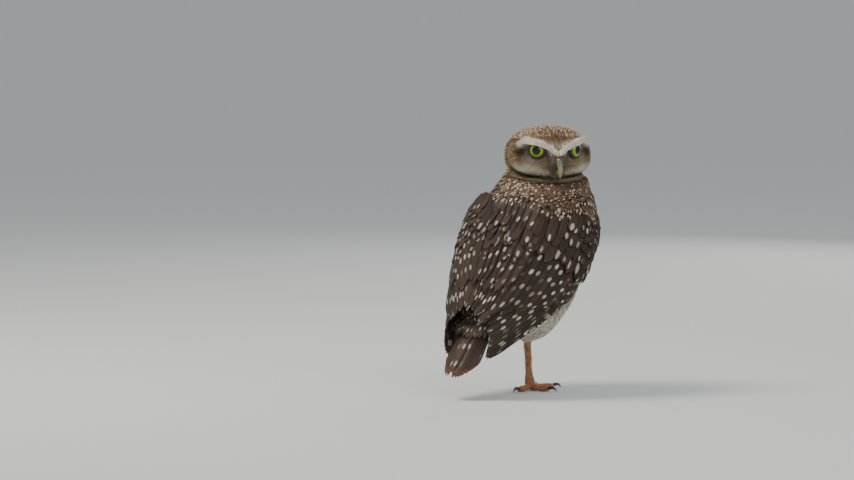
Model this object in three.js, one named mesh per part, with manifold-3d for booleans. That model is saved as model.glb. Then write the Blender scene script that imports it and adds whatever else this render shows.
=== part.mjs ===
// A burrowing owl at life size, in millimetres, +Z up. It stands on its right leg, with the left drawn up
// into the belly, and looks back over its right shoulder. The body faces -Y and +X is the owl's left.
// The origin is under the standing foot, on the floor.
import * as THREE from "three";
import { mergeVertices } from "three/addons/utils/BufferGeometryUtils.js";
import Module from "manifold-3d";

const wasm = await Module();
wasm.setup();

// Driving sizes
const GAP = 0.35; // between touching pieces
const HEAD_CENTRE = [1, -30, 202.5];
const HEAD_TURN = -121; // degrees about +Z, from the body's heading
const HEAD_NOD = 3; // degrees, bill down
const HEAD_HALF_WIDTH = 37.5;
const CROWN = 26; // crown above the head's centre
const CHIN = 24;
const FACE = 28; // face in front of the head's centre
const NAPE = 34;
const EYE_RADIUS = 9.2;
const EYE_SPLAY = 31; // degrees that each eye turns out from straight ahead
const EYE_FRONT = [19.2, -27.7, 6.6]; // the middle of the left cornea
const IRIS_OPENING = 7;
const TAIL_FEATHERS = 12;
const TAIL_HALF_WIDTH = 21;
const PRIMARIES = 6;
const SECONDARIES = 7;
const TERTIALS = 3;
const COVERTS = 7;
const FOOT = [0.5, -7]; // the standing foot's middle on the floor
const VANE = 0.7; // thickness of a flight feather at its tip

const COLOURS = {
  back: "#4a3a2e",
  wing: "#43352b",
  breast: "#cbb798",
  head: "#7a6350",
  tail: "#4e3d30",
  thigh: "#d9cbb2",
  leg: "#a4622f",
  bill: "#8b8a63",
  claw: "#2a2522",
  eye: "#a9c31f",
};

function paint(colour, roughness = 0.85) {
  return new THREE.MeshStandardMaterial({ color: COLOURS[colour], roughness, metalness: 0 });
}

// A smooth curve through pairs of [place, value].
function profile(pairs) {
  const at = pairs.map((pair) => pair[0]);
  const value = pairs.map((pair) => pair[1]);
  const last = at.length - 1;
  const slope = value.map((_, i) => {
    const before = Math.max(i - 1, 0);
    const after = Math.min(i + 1, last);
    return (value[after] - value[before]) / (at[after] - at[before]);
  });
  return (x) => {
    if (x <= at[0]) return value[0];
    if (x >= at[last]) return value[last];
    const i = at.findIndex((edge) => edge > x) - 1;
    const h = at[i + 1] - at[i];
    const u = (x - at[i]) / h;
    return (
      (2 * u ** 3 - 3 * u ** 2 + 1) * value[i] +
      (u ** 3 - 2 * u ** 2 + u) * h * slope[i] +
      (3 * u ** 2 - 2 * u ** 3) * value[i + 1] +
      (u ** 3 - u ** 2) * h * slope[i + 1]
    );
  };
}

const mix = (a, b, u) => a + (b - a) * u;
const radians = THREE.MathUtils.degToRad;
const vector = (x, y, z) => new THREE.Vector3(x, y, z);
const range = (count) => [...Array(count).keys()];

// A solid from points and triangles, turned to face out.
function solidOf(points, faces) {
  let volume = 0;
  for (const [a, b, c] of faces) volume += points[a].dot(points[b].clone().cross(points[c]));
  const triangles = volume < 0 ? faces.map(([a, b, c]) => [a, c, b]) : faces;
  const geometry = new THREE.BufferGeometry();
  geometry.setAttribute("position", new THREE.Float32BufferAttribute(points.flatMap((p) => p.toArray()), 3));
  geometry.setIndex(triangles.flat());
  return solidOfGeometry(geometry);
}

function solidOfGeometry(geometry) {
  const bare = geometry.clone();
  bare.deleteAttribute("normal");
  bare.deleteAttribute("uv");
  const merged = mergeVertices(bare, 1e-4);
  return new wasm.Manifold(
    new wasm.Mesh({
      numProp: 3,
      vertProperties: merged.attributes.position.array,
      triVerts: new Uint32Array(merged.index.array),
    }),
  );
}

// A closed skin over rings of points, with each end drawn to its middle.
function loft(rings) {
  const count = rings[0].length;
  const points = rings.flat();
  const faces = [];
  for (const r of range(rings.length - 1)) {
    for (const i of range(count)) {
      const next = (i + 1) % count;
      const [a, b, c, d] = [r * count + i, r * count + next, (r + 1) * count + next, (r + 1) * count + i];
      faces.push([a, b, c], [a, c, d]);
    }
  }
  const ends = [0, rings.length - 1];
  for (const r of ends) {
    const middle = rings[r].reduce((sum, p) => sum.add(p), vector(0, 0, 0)).divideScalar(count);
    points.push(middle);
    for (const i of range(count)) {
      const a = r * count + i;
      const b = r * count + ((i + 1) % count);
      faces.push(r === 0 ? [points.length - 1, b, a] : [points.length - 1, a, b]);
    }
  }
  return solidOf(points, faces);
}

function union(solids) {
  return solids.reduce((whole, next) => whole.add(next));
}

// Only the largest closed surface of a solid, without the slivers that joining leaves.
function largest(solid, sliver = 0.02) {
  return solid
    .simplify(sliver)
    .decompose()
    .sort((a, b) => b.volume() - a.volume())[0];
}

function geometryOf(solid) {
  const { vertProperties, triVerts, numProp } = solid.getMesh();
  const places = [];
  for (let i = 0; i < vertProperties.length; i += numProp) places.push(...vertProperties.subarray(i, i + 3));
  const geometry = new THREE.BufferGeometry();
  geometry.setAttribute("position", new THREE.Float32BufferAttribute(places, 3));
  geometry.setIndex([...triVerts]);
  geometry.computeVertexNormals();
  return geometry;
}

// The solid with its surface moved out by a distance.
function grown(solid, distance = GAP) {
  const geometry = geometryOf(solid);
  const place = geometry.attributes.position;
  const normal = geometry.attributes.normal;
  for (const i of range(place.count)) {
    place.setXYZ(
      i,
      place.getX(i) + normal.getX(i) * distance,
      place.getY(i) + normal.getY(i) * distance,
      place.getZ(i) + normal.getZ(i) * distance,
    );
  }
  return solidOfGeometry(geometry);
}

function ball(radius, centre, rows = 16) {
  return solidOfGeometry(new THREE.SphereGeometry(radius, rows * 2, rows).translate(...centre));
}

// A tube of round or oval section along points, with a radius at each.
function limb(path, radii, sides = 10, squash = 1) {
  const curve = new THREE.CatmullRomCurve3(path.map((p) => vector(...p)));
  const steps = (path.length - 1) * 2;
  const radius = profile(radii.map((r, i) => [i / (radii.length - 1), r]));
  const frames = curve.computeFrenetFrames(steps, false);
  let before;
  return loft(
    range(steps + 1).map((i) => {
      const u = i / steps;
      const centre = curve.getPoint(u);
      const side = vector(0, 0, 1).cross(frames.tangents[i]);
      if (side.length() < 0.1) side.copy(frames.normals[i]);
      side.normalize();
      if (before && side.dot(before) < 0) side.negate();
      before = side;
      const up = frames.tangents[i].clone().cross(side).normalize();
      return range(sides).map((k) => {
        const angle = (k / sides) * 2 * Math.PI;
        return centre
          .clone()
          .addScaledVector(side, radius(u) * Math.cos(angle))
          .addScaledVector(up, radius(u) * squash * Math.sin(angle));
      });
    }),
  );
}

// Torso: level rings from the belly's end to the shoulders
const torsoForward = profile([[44, 6], [55, 3], [66, 0], [82, -2], [102, -1], [125, 6], [150, 14], [168, 20], [178, 23]]);
const torsoHalfWidth = profile([[44, 7], [48, 15], [55, 23], [66, 33], [82, 43], [102, 49], [125, 52], [150, 51], [168, 46], [178, 40]]);
const torsoFront = profile([[44, 8], [48, 15], [55, 23], [66, 34], [82, 44], [102, 50], [125, 52], [150, 50], [168, 45], [178, 38]]);
const torsoBack = profile([[44, 8], [48, 15], [55, 23], [66, 33], [82, 42], [102, 47], [125, 49], [150, 47], [168, 41], [178, 35]]);

// One point of a rounded oval ring about the body's mid-plane.
function ovalPoint(angle, z, forward, halfWidth, front, back, fullness = 2.15) {
  const c = Math.cos(angle);
  const s = Math.sin(angle);
  const size = (Math.abs(c) ** fullness + Math.abs(s) ** fullness) ** (-1 / fullness);
  const depth = s < 0 ? front : back;
  return vector(halfWidth * c * size, -forward + depth * s * size, z);
}

function bodyRings(levels, sides, grow = 0) {
  return levels.map((z) =>
    range(sides).map((k) =>
      ovalPoint(
        (k / sides) * 2 * Math.PI,
        z,
        torsoForward(z),
        torsoHalfWidth(z) + grow,
        torsoFront(z) + grow,
        torsoBack(z) + grow,
      ),
    ),
  );
}

const torsoLevels = [44, 46, 50, 56, 64, 74, 86, 98, 112, 126, 140, 152, 162, 170, 176];
const torso = loft(bodyRings(torsoLevels, 28));

// Head: a broad flattened ball with brows, sunken eyes, cheeks and a rimmed facial disc
const browRidge = [[2, -31, 0.5], [8, -31.5, 7], [16, -30, 12.6], [25, -24.6, 15.4], [32, -16, 14]];
const discRim = [[0, -29, -21], [12, -28, -20], [22, -23.5, -16.5], [31, -14, -9], [34.5, -6, 2], [33, -4, 12]];
const billMound = [[0, -30, 3], [0, -32, -5]];
const cheek = [[13, -30, -10], [20, -25, -9]];
const eyeHollow = [EYE_FRONT];

function nearness(point, path, reach) {
  const spot = vector(Math.abs(point.x), point.y, point.z);
  let nearest = Infinity;
  for (const i of range(Math.max(path.length - 1, 1))) {
    const line = new THREE.Line3(vector(...path[i]), vector(...path[Math.min(i + 1, path.length - 1)]));
    const foot = path.length > 1 ? line.closestPointToPoint(spot, true, vector(0, 0, 0)) : line.start;
    nearest = Math.min(nearest, foot.distanceTo(spot));
  }
  return Math.exp(-((nearest / reach) ** 2));
}

function headPoint(direction) {
  const fullness = 2.15;
  const across = Math.abs(direction.x) / HEAD_HALF_WIDTH;
  const along = Math.abs(direction.y) / (direction.y < 0 ? FACE : NAPE);
  const up = Math.abs(direction.z) / (direction.z > 0 ? CROWN : CHIN);
  const base = (across ** fullness + along ** fullness + up ** fullness) ** (-1 / fullness);
  const spot = direction.clone().multiplyScalar(base);
  const relief =
    3.4 * nearness(spot, browRidge, 3.6) +
    2.2 * nearness(spot, discRim, 3.6) +
    2.6 * nearness(spot, billMound, 6) +
    1.6 * nearness(spot, cheek, 7) -
    3 * nearness(spot, eyeHollow, 9);
  return direction.clone().multiplyScalar(base + relief);
}

const eyeAim = vector(Math.sin(radians(EYE_SPLAY)), -Math.cos(radians(EYE_SPLAY)), 0);
const eyeCentre = vector(...EYE_FRONT).addScaledVector(eyeAim, -EYE_RADIUS);
const mirrored = (side, p) => [side * p.x, p.y, p.z];

// Turns a shape made about the origin, facing -Y, to an eye's aim, and sets it at the eye.
function atEye(geometry, side) {
  return geometry.rotateZ(radians(side * EYE_SPLAY)).translate(...mirrored(side, eyeCentre));
}

// The upper or lower lid: a thin cap of a shell round the eyeball, cut off level.
function lid(side, height, upper) {
  const outer = ball(EYE_RADIUS + 1.7, [0, 0, 0], 9);
  const tilt = upper ? side * -14 : 0; // the upper lid slopes down towards the bill
  const block = new THREE.BoxGeometry(40, 40, 20)
    .translate(0, 0, upper ? height + 10 : height - 10)
    .rotateY(radians(tilt));
  const front = new THREE.BoxGeometry(40, 14, 40).translate(0, -10, 0);
  const cap = outer.intersect(solidOfGeometry(block)).intersect(solidOfGeometry(front));
  return solidOfGeometry(atEye(geometryOf(cap), side));
}

function headBall() {
  const shape = new THREE.IcosahedronGeometry(1, 7);
  shape.deleteAttribute("normal");
  shape.deleteAttribute("uv");
  const merged = mergeVertices(shape, 1e-5);
  const place = merged.attributes.position;
  for (const i of range(place.count)) {
    const spot = headPoint(vector().fromBufferAttribute(place, i).normalize());
    place.setXYZ(i, spot.x, spot.y, spot.z);
  }
  return solidOfGeometry(merged);
}

function headSolid() {
  let head = headBall();
  for (const side of [1, -1]) {
    const opening = new THREE.CylinderGeometry(IRIS_OPENING + 0.9, IRIS_OPENING + 0.9, 16, 18).translate(0, -11, 0);
    head = head.subtract(solidOfGeometry(atEye(opening.rotateX(Math.PI), side)));
    const rim = new THREE.TorusGeometry(IRIS_OPENING + 0.9, 1.3, 6, 18).rotateX(Math.PI / 2).translate(0, -5.6, 0);
    head = head.add(solidOfGeometry(atEye(rim, side)));
    head = head.add(lid(side, 4.2, true)).add(lid(side, -6, false));
    head = head.subtract(ball(EYE_RADIUS + GAP, mirrored(side, eyeCentre), 10));
  }
  return largest(head, 0.06);
}

// Bill: the hooked upper half with its cere and nostrils, and the lower half under it
function upperBill() {
  const path = [[0, -24, -1.6], [0, -30, -1.8], [0, -34, -4], [0, -36.4, -8.4], [0, -36.8, -13], [0, -35.6, -17.2]];
  const bill = limb(path, [3.8, 3.8, 3.5, 2.8, 1.9, 0.35], 12, 1);
  const nostrils = [1, -1].map((side) => ball(0.8, [side * 3.1, -33.8, -3.8], 5));
  return bill.subtract(union(nostrils));
}

function lowerBill() {
  const path = [[0, -24, -9.2], [0, -29.5, -10.6], [0, -32.2, -12.4], [0, -33.6, -14.8]];
  return limb(path, [3.3, 3, 2.1, 0.5], 10, 0.8);
}

const billUpper = upperBill();
const billLower = lowerBill().subtract(grown(billUpper));
const head = largest(headSolid().subtract(grown(billUpper)).subtract(grown(billLower)), 0.06);

const headPlace = new THREE.Matrix4()
  .makeTranslation(...HEAD_CENTRE)
  .multiply(new THREE.Matrix4().makeRotationZ(radians(HEAD_TURN)))
  .multiply(new THREE.Matrix4().makeRotationX(radians(HEAD_NOD)));
const inBody = (solid) => solidOfGeometry(geometryOf(solid).applyMatrix4(headPlace));
const headInBody = inBody(headBall());

// Neck: a collar from the shoulders up to the head
const neckLevels = [160, 168, 176, 182, 188, 194];
const neckForward = profile([[160, 18], [176, 22.5], [188, 27], [194, 29]]);
const neckHalfWidth = profile([[160, 47.5], [168, 45.5], [176, 41], [182, 37.5], [188, 35], [194, 33]]);
const neckDepth = profile([[160, 45], [168, 43], [176, 39.5], [182, 37], [188, 34.5], [194, 32]]);
const neckWhole = loft(
  neckLevels.map((z) =>
    range(28).map((k) =>
      ovalPoint((k / 28) * 2 * Math.PI, z, neckForward(z), neckHalfWidth(z), neckDepth(z), neckDepth(z) - 1),
    ),
  ),
);

// Wings: each lies on a guide surface measured along the folded wing, from the shoulder to the tip
const WING_TOP = [30, 180]; // forward and up
const WING_SLOPE = radians(35.6); // of the folded wing from the vertical, down and back
const wingBackEdge = profile([[-6, -18], [10, -30], [30, -37.5], [52, -39], [76, -38.5], [99, -33.5], [118, -28.5], [134, -24.5], [159, -18.5], [177, -15.5], [200, -12.5]]);
const wingFrontEdge = profile([[-6, 16], [10, 22], [30, 26.5], [52, 31.5], [70, 37], [88, 37.5], [105, 35], [127, 29], [140, 21.5], [152, 15.5], [167, 10], [186, 4.5], [200, 1]]);
const wingWidest = profile([[-6, -3], [10, 2], [52, 8], [80, 10], [110, 8], [140, 3], [167, -3], [200, -6]]);
const wingHalfWidth = profile([[-6, 46], [10, 54.5], [30, 57], [52, 57.5], [80, 55], [99, 51.5], [118, 46], [140, 37.5], [167, 26], [186, 18], [200, 15]]);
const wingFrontWidth = profile([[-6, 45], [10, 53], [36, 54.5], [52, 53], [80, 49], [110, 41.5], [140, 33], [167, 22], [186, 14], [200, 10]]);

// A point on the right wing's guide surface: along it in millimetres, and across it from 0 at the
// middle of the back to 1 at the lower edge.
function wingGuide(along, across) {
  const back = wingBackEdge(along);
  const front = wingFrontEdge(along);
  const widest = wingWidest(along);
  const turn = 0.62; // the share of the way across where the wing is widest
  const lateral = 1.5;
  let out;
  let forward;
  if (across < turn) {
    const angle = (across / turn) * (Math.PI / 2);
    out = lateral + (wingHalfWidth(along) - lateral) * Math.sin(angle) ** 0.92;
    forward = widest + (back - widest) * Math.cos(angle) ** 0.92;
  } else {
    const u = (across - turn) / (1 - turn);
    out = mix(wingHalfWidth(along), wingFrontWidth(along), u ** 2);
    forward = mix(widest, front, Math.sin((u * Math.PI) / 2) * 0.4 + u * 0.6);
  }
  const s = WING_TOP[0] - along * Math.sin(WING_SLOPE) + forward * Math.cos(WING_SLOPE);
  const z = WING_TOP[1] - along * Math.cos(WING_SLOPE) - forward * Math.sin(WING_SLOPE);
  return vector(-out, -s, z);
}

function wingPoint(along, across, lift) {
  const step = 0.5;
  const here = wingGuide(along, across);
  const down = wingGuide(along + step, across).sub(wingGuide(along - step, across));
  const spot = THREE.MathUtils.clamp(across, 0.02, 0.98);
  const over = wingGuide(along, spot + 0.01).sub(wingGuide(along, spot - 0.01));
  return here.addScaledVector(down.cross(over).normalize(), lift);
}

function wingGirth(along) {
  let girth = 0;
  for (const i of range(12)) girth += wingGuide(along, i / 12).distanceTo(wingGuide(along, (i + 1) / 12));
  return girth;
}

// A flat feather blade with a raised shaft. Each station holds its two edges and shaft, on both faces.
function blade(stations) {
  const points = stations.flat();
  const faces = [];
  const pairs = [[0, 1], [1, 2]];
  for (const r of range(stations.length - 1)) {
    const near = r * 6;
    const far = near + 6;
    for (const [a, b] of pairs) {
      faces.push([near + a, near + b, far + b], [near + a, far + b, far + a]);
      faces.push([near + a + 3, far + b + 3, near + b + 3], [near + a + 3, far + a + 3, far + b + 3]);
    }
    faces.push([near, far, far + 3], [near, far + 3, near + 3]);
    faces.push([near + 2, far + 5, far + 2], [near + 2, near + 5, far + 5]);
  }
  const end = (stations.length - 1) * 6;
  for (const [a, b] of pairs) {
    faces.push([a, a + 3, b + 3], [a, b + 3, b]);
    faces.push([end + a, end + b + 3, end + a + 3], [end + a, end + b, end + b + 3]);
  }
  return solidOf(points, faces);
}

const bladeStations = [0, 0.35, 0.7, 0.9, 1];
const bladeWidth = profile([[0, 0.55], [0.35, 0.95], [0.7, 1], [0.9, 0.8], [1, 0.3]]);

// One wing feather, from its root to its tip on the guide surface. Its outer edge rides higher than its
// inner edge, so that neighbours overlap like tiles.
function wingFeather({ root, tip, halfWidth, rootLift, tipLift, tilt, rootDepth }) {
  const stations = bladeStations.map((u) => {
    const depth = mix(rootDepth, VANE, u ** 2);
    const along = mix(root[0], tip[0], u);
    const across = mix(root[1], tip[1], u);
    const lift = mix(rootLift, tipLift, u);
    const girth = wingGirth(along);
    const spots = [-1, 0, 1].map((edge) => {
      const width = halfWidth * bladeWidth(u);
      const place = THREE.MathUtils.clamp(across + (edge * width) / girth, 0.03 + edge * 0.015, 1.06 + edge * 0.02);
      return [place, lift + edge * tilt * bladeWidth(u) + (edge === 0 ? 0.3 : 0)];
    });
    return [...spots.map(([q, l]) => wingPoint(along, q, l)), ...spots.map(([q, l]) => wingPoint(along, q, l - depth))];
  });
  return blade(stations);
}

function wingFeathers() {
  const feathers = [];
  for (const i of range(PRIMARIES)) {
    const u = i / (PRIMARIES - 1); // 0 is the outermost, at the lower edge
    feathers.push({
      root: [92, mix(0.93, 0.5, u)],
      tip: [mix(182, 158, u ** 1.3) - 9 * (1 - u) ** 6, mix(0.86, 0.3, u)],
      halfWidth: 6.4,
      rootLift: -1.6,
      tipLift: 1.2,
      tilt: 1.2,
      rootDepth: 2.6,
    });
  }
  for (const i of range(SECONDARIES)) {
    const u = i / (SECONDARIES - 1);
    feathers.push({
      root: [64, mix(0.86, 0.36, u)],
      tip: [mix(112, 149, u), mix(0.93, 0.26, u)],
      halfWidth: 8,
      rootLift: -1.2,
      tipLift: 3.2,
      tilt: 1.2,
      rootDepth: 3.6,
    });
  }
  for (const i of range(TERTIALS)) {
    const u = i / (TERTIALS - 1);
    feathers.push({
      root: [56, mix(0.32, 0.16, u)],
      tip: [mix(142, 120, u), mix(0.26, 0.12, u)],
      halfWidth: 9,
      rootLift: 0.6,
      tipLift: mix(4.4, 5, u),
      tilt: 1.2,
      rootDepth: 4.5,
    });
  }
  for (const i of range(COVERTS)) {
    const u = i / (COVERTS - 1);
    feathers.push({
      root: [34, mix(0.94, 0.22, u)],
      tip: [mix(82, 90, u), mix(0.97, 0.3, u)],
      halfWidth: 8.6,
      rootLift: -0.4,
      tipLift: 4.4,
      tilt: 1.2,
      rootDepth: 4,
    });
  }
  return feathers.map(wingFeather);
}

// The wing's arm and its small coverts: a shell on the guide surface, sunk deep so that the body cuts it.
function wingArm() {
  const alongs = [-5, 2, 12, 24, 38, 54, 70, 86, 102, 116];
  const acrosses = [0, 0.14, 0.3, 0.48, 0.64, 0.8, 0.92, 1];
  const swell = profile([[-5, -3], [2, 0.6], [12, 2.2], [38, 2.4], [70, 1.4], [102, -0.6], [116, -2.2]]);
  const depth = profile([[-5, 2], [2, 5], [24, 8], [70, 8], [102, 4.5], [116, 1.6]]);
  return loft(
    alongs.map((along) => {
      const edge = (q) => 1 - 0.5 * Math.max(0, (q - 0.8) / 0.2) ** 2;
      const outer = acrosses.map((q) => wingPoint(along, q, swell(along) * edge(q)));
      const inner = acrosses.map((q) => wingPoint(along, q, -depth(along) * (0.35 + 0.65 * edge(q) ** 2)));
      return [...outer, ...inner.reverse()];
    }),
  );
}

const tailAlong = (along) => [
  -(WING_TOP[0] - along * Math.sin(WING_SLOPE)),
  WING_TOP[1] - along * Math.cos(WING_SLOPE),
];

// A point of the tail: along the same line as the wings, across in millimetres, and raised off the tail's top.
function tailPoint(along, across, lift) {
  const [y, z] = tailAlong(along);
  const forward = -8.5 + (across / TAIL_HALF_WIDTH) ** 2 * 3.2 - lift;
  return vector(across, y - forward * Math.cos(WING_SLOPE), z - forward * Math.sin(WING_SLOPE));
}

function tailFeathers() {
  const pairs = TAIL_FEATHERS / 2;
  const feathers = [];
  for (const i of range(pairs)) {
    const u = i / (pairs - 1); // 0 is the middle pair, which lies on top
    for (const side of [1, -1]) {
      const centre = (part) => side * mix(2.6, TAIL_HALF_WIDTH - 6.5, u) * mix(0.5, 1, part);
      const length = mix(204, 193, u ** 2) + (side > 0 ? 0 : 0.6);
      const stations = bladeStations.map((part) => {
        const along = mix(128, length, part);
        const width = 6.8 * bladeWidth(part);
        const lift = -i * 0.55 - (side > 0 ? 0 : 0.25);
        const spots = [-1, 0, 1].map((edge) => {
          const outward = edge * side;
          return [centre(part) + edge * width, lift - outward * 0.75 + (edge === 0 ? 0.3 : 0)];
        });
        return [
          ...spots.map(([x, l]) => tailPoint(along, x, l)),
          ...spots.map(([x, l]) => tailPoint(along, x, l - VANE)),
        ];
      });
      feathers.push(blade(stations));
    }
  }
  return feathers;
}

// The rump and the soft feathers under the tail, narrowing on to the tail feathers.
function tailRoot() {
  const alongs = [100, 108, 118, 130, 144, 156, 164];
  const halfWidth = profile([[100, 24], [118, 23], [144, 17], [164, 8]]);
  const under = profile([[100, 22], [118, 22], [130, 18], [144, 9], [156, 0], [164, -5]]);
  const over = profile([[100, -17], [118, -15], [144, -10], [164, -8.2]]);
  return loft(
    alongs.map((along) => {
      const [y, z] = tailAlong(along);
      const middle = (under(along) + over(along)) / 2;
      const half = (under(along) - over(along)) / 2;
      return range(20).map((k) => {
        const angle = (k / 20) * 2 * Math.PI;
        const forward = middle + half * Math.sin(angle);
        return vector(
          halfWidth(along) * Math.cos(angle),
          y - forward * Math.cos(WING_SLOPE),
          z - forward * Math.sin(WING_SLOPE),
        );
      });
    }),
  );
}

const tail = largest(union([tailRoot(), ...tailFeathers()]).subtract(grown(torso)), 0.05);
const torsoGrown = grown(torso);
const tailGrown = grown(tailRoot());
// The neck stops at the chin in front and climbs behind, so that the face stands clear of it.
const collarSlope = radians(14);
const collarTop = new THREE.BoxGeometry(140, 140, 60).translate(0, 0, 30).rotateX(collarSlope).translate(0, -30, -22.5);
const aboveNeck = grown(headInBody).add(inBody(solidOfGeometry(collarTop)));
const neck = largest(neckWhole.subtract(torsoGrown).subtract(aboveNeck));

const neckGrown = grown(neckWhole, 1.5 * GAP);
const wingWhole = union([wingArm(), ...wingFeathers()]).subtract(torsoGrown).subtract(tailGrown);
const wingRight = largest(wingWhole.subtract(neckGrown).subtract(aboveNeck), 0.08);
const wingLeft = largest(wingWhole.mirror([1, 0, 0]).subtract(neckGrown).subtract(aboveNeck), 0.08);

// Standing leg: feathered thigh, slender tarsus, and a foot with one toe back and three spread ahead
const [footX, footY] = FOOT;
const thighPath = [[-5, 4, 60], [-4, 2, 50], [-3.2, 0.6, 42]];
const thigh = limb(thighPath, [10, 7, 4.6], 14).subtract(torsoGrown);
const tarsusPath = [[-3.8, 1.6, 50], [-3, 0.2, 40], [-1.6, -2.6, 28], [-0.2, -5, 16], [footX, footY, 7]];
const tarsusWhole = limb(tarsusPath, [3.4, 3.1, 2.9, 3.2, 4.6], 12);

const toeSizes = [
  // heading in degrees from straight ahead, to the owl's right; length; radius
  { heading: -28, length: 20, radius: 2.9 },
  { heading: 12, length: 25, radius: 3 },
  { heading: 82, length: 19, radius: 2.8 },
  { heading: 172, length: 17, radius: 2.8 },
];

function toePlace(heading, reach, z) {
  const angle = radians(heading);
  return [footX - reach * Math.sin(angle), footY - reach * Math.cos(angle), z];
}

function toe({ heading, length, radius }) {
  const knuckles = [0, 0.25, 0.5, 0.75, 1];
  const heights = [5.2, 3.2, 2.2, 2.2, 1.7];
  const path = knuckles.map((u, i) => toePlace(heading, length * u, heights[i]));
  return limb(path, [radius + 0.9, radius, radius - 0.25, radius - 0.05, radius - 0.7], 8);
}

function claw({ heading, length }) {
  const reach = [-1.4, 1.6, 5, 7.4, 8.6];
  const heights = [2.2, 3.3, 3.6, 2.3, 0.55];
  return limb(
    reach.map((r, i) => toePlace(heading, length + r, heights[i])),
    [1.5, 1.55, 1.2, 0.75, 0.2],
    8,
  );
}

const floor = solidOfGeometry(new THREE.BoxGeometry(300, 300, 40).translate(0, 0, -20));
const footHub = ball(5.4, [footX, footY, 5.2], 7);
const footWhole = union([footHub, ...toeSizes.map(toe)]).subtract(floor);
const clawSolids = toeSizes.map((size) => claw(size).subtract(grown(footWhole)));
const tarsus = largest(tarsusWhole.subtract(grown(footWhole)).subtract(grown(thigh)).subtract(torsoGrown));

// Drawn-up leg: the foot hangs half closed from the belly feathers
const tuckedAnkle = [13, -25, 62];
const tuckedToes = [-26, 0, 27].map((heading) => ({ heading, length: 15 }));

function tuckedPlace(heading, reach, drop) {
  const angle = radians(heading);
  return [
    tuckedAnkle[0] - reach * Math.sin(angle),
    tuckedAnkle[1] - reach * Math.cos(angle),
    tuckedAnkle[2] - drop,
  ];
}

function tuckedToe({ heading }) {
  return limb(
    [[0, 0], [7, 1], [12, 4.5], [14, 10]].map(([reach, drop]) => tuckedPlace(heading, reach, drop)),
    [3.4, 2.9, 2.7, 2],
    8,
  );
}

function tuckedClaw({ heading }) {
  return limb(
    [[14, 9], [14.2, 12.4], [12.8, 15.4], [10.4, 17]].map(([reach, drop]) => tuckedPlace(heading, reach, drop)),
    [1.4, 1.4, 0.9, 0.2],
    8,
  );
}

const tuckedPad = ball(4.6, tuckedAnkle, 6);
const tuckedFoot = largest(union([tuckedPad, ...tuckedToes.map(tuckedToe)]).subtract(torsoGrown));
const tuckedClaws = tuckedToes.map((size) => tuckedClaw(size).subtract(grown(tuckedFoot)));

// The whole owl
const owl = new THREE.Group();
owl.name = "burrowing_owl";
owl.position.set(-footX, -footY, 0);

function add(parent, name, solid, colour, roughness) {
  const mesh = new THREE.Mesh(geometryOf(largest(solid)), paint(colour, roughness));
  mesh.name = name;
  parent.add(mesh);
}

const headGroup = new THREE.Group();
headPlace.decompose(headGroup.position, headGroup.quaternion, headGroup.scale);
owl.add(headGroup);
add(headGroup, "head", head, "head");
add(headGroup, "bill_upper", billUpper, "bill", 0.4);
add(headGroup, "bill_lower", billLower, "bill", 0.4);
for (const [name, side] of [["eye_left", 1], ["eye_right", -1]]) {
  add(headGroup, name, ball(EYE_RADIUS, mirrored(side, eyeCentre), 9), "eye", 0.05);
}
add(owl, "neck", neck, "head");
add(owl, "torso", torso, "breast");
add(owl, "wing_left", wingLeft, "wing");
add(owl, "wing_right", wingRight, "wing");
add(owl, "tail", tail, "tail");
add(owl, "thigh_right", thigh, "thigh");
add(owl, "tarsus_right", tarsus, "leg");
add(owl, "foot_right", footWhole, "leg");
clawSolids.forEach((solid, i) => add(owl, `claw_right_${i + 1}`, solid, "claw", 0.35));
add(owl, "foot_left", tuckedFoot, "leg");
tuckedClaws.forEach((solid, i) => add(owl, `claw_left_${i + 1}`, solid, "claw", 0.35));

export default owl;
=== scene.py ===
import itertools
import math

import bmesh
import bpy
import numpy as np
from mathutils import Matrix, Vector
from mathutils.bvhtree import BVHTree


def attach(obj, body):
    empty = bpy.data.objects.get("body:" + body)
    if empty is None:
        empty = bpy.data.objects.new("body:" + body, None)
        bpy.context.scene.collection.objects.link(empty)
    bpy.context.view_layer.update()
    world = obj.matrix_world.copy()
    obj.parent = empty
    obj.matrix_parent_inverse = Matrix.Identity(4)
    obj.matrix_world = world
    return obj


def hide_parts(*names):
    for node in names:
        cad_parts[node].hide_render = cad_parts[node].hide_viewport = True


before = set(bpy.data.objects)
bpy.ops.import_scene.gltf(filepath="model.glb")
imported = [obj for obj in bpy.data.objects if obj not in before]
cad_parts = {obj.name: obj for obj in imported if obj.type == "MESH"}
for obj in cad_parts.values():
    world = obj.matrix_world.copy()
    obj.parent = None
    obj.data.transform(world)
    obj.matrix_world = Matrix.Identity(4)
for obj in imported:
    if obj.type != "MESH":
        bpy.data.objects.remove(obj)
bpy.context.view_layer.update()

# Camera
# It stands behind the owl's right shoulder, a little above the back, as far off as a long lens works.
view_turn = math.radians(223)
view_height = math.radians(4)
view_distance = 3.0
view_aim = Vector((0.0648, 0.0604, 0.1300))
view_way = Vector(
    (
        math.sin(view_turn) * math.cos(view_height),
        -math.cos(view_turn) * math.cos(view_height),
        math.sin(view_height),
    )
)
camera = bpy.data.objects.new("camera", bpy.data.cameras.new("camera"))
bpy.context.scene.collection.objects.link(camera)
camera.location = view_aim + view_way * view_distance
camera.rotation_euler = view_way.to_track_quat("Z", "Y").to_euler()
camera.data.lens = 36 * view_distance / 0.7344
camera.data.sensor_width = 36
bpy.context.scene.camera = camera

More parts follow.
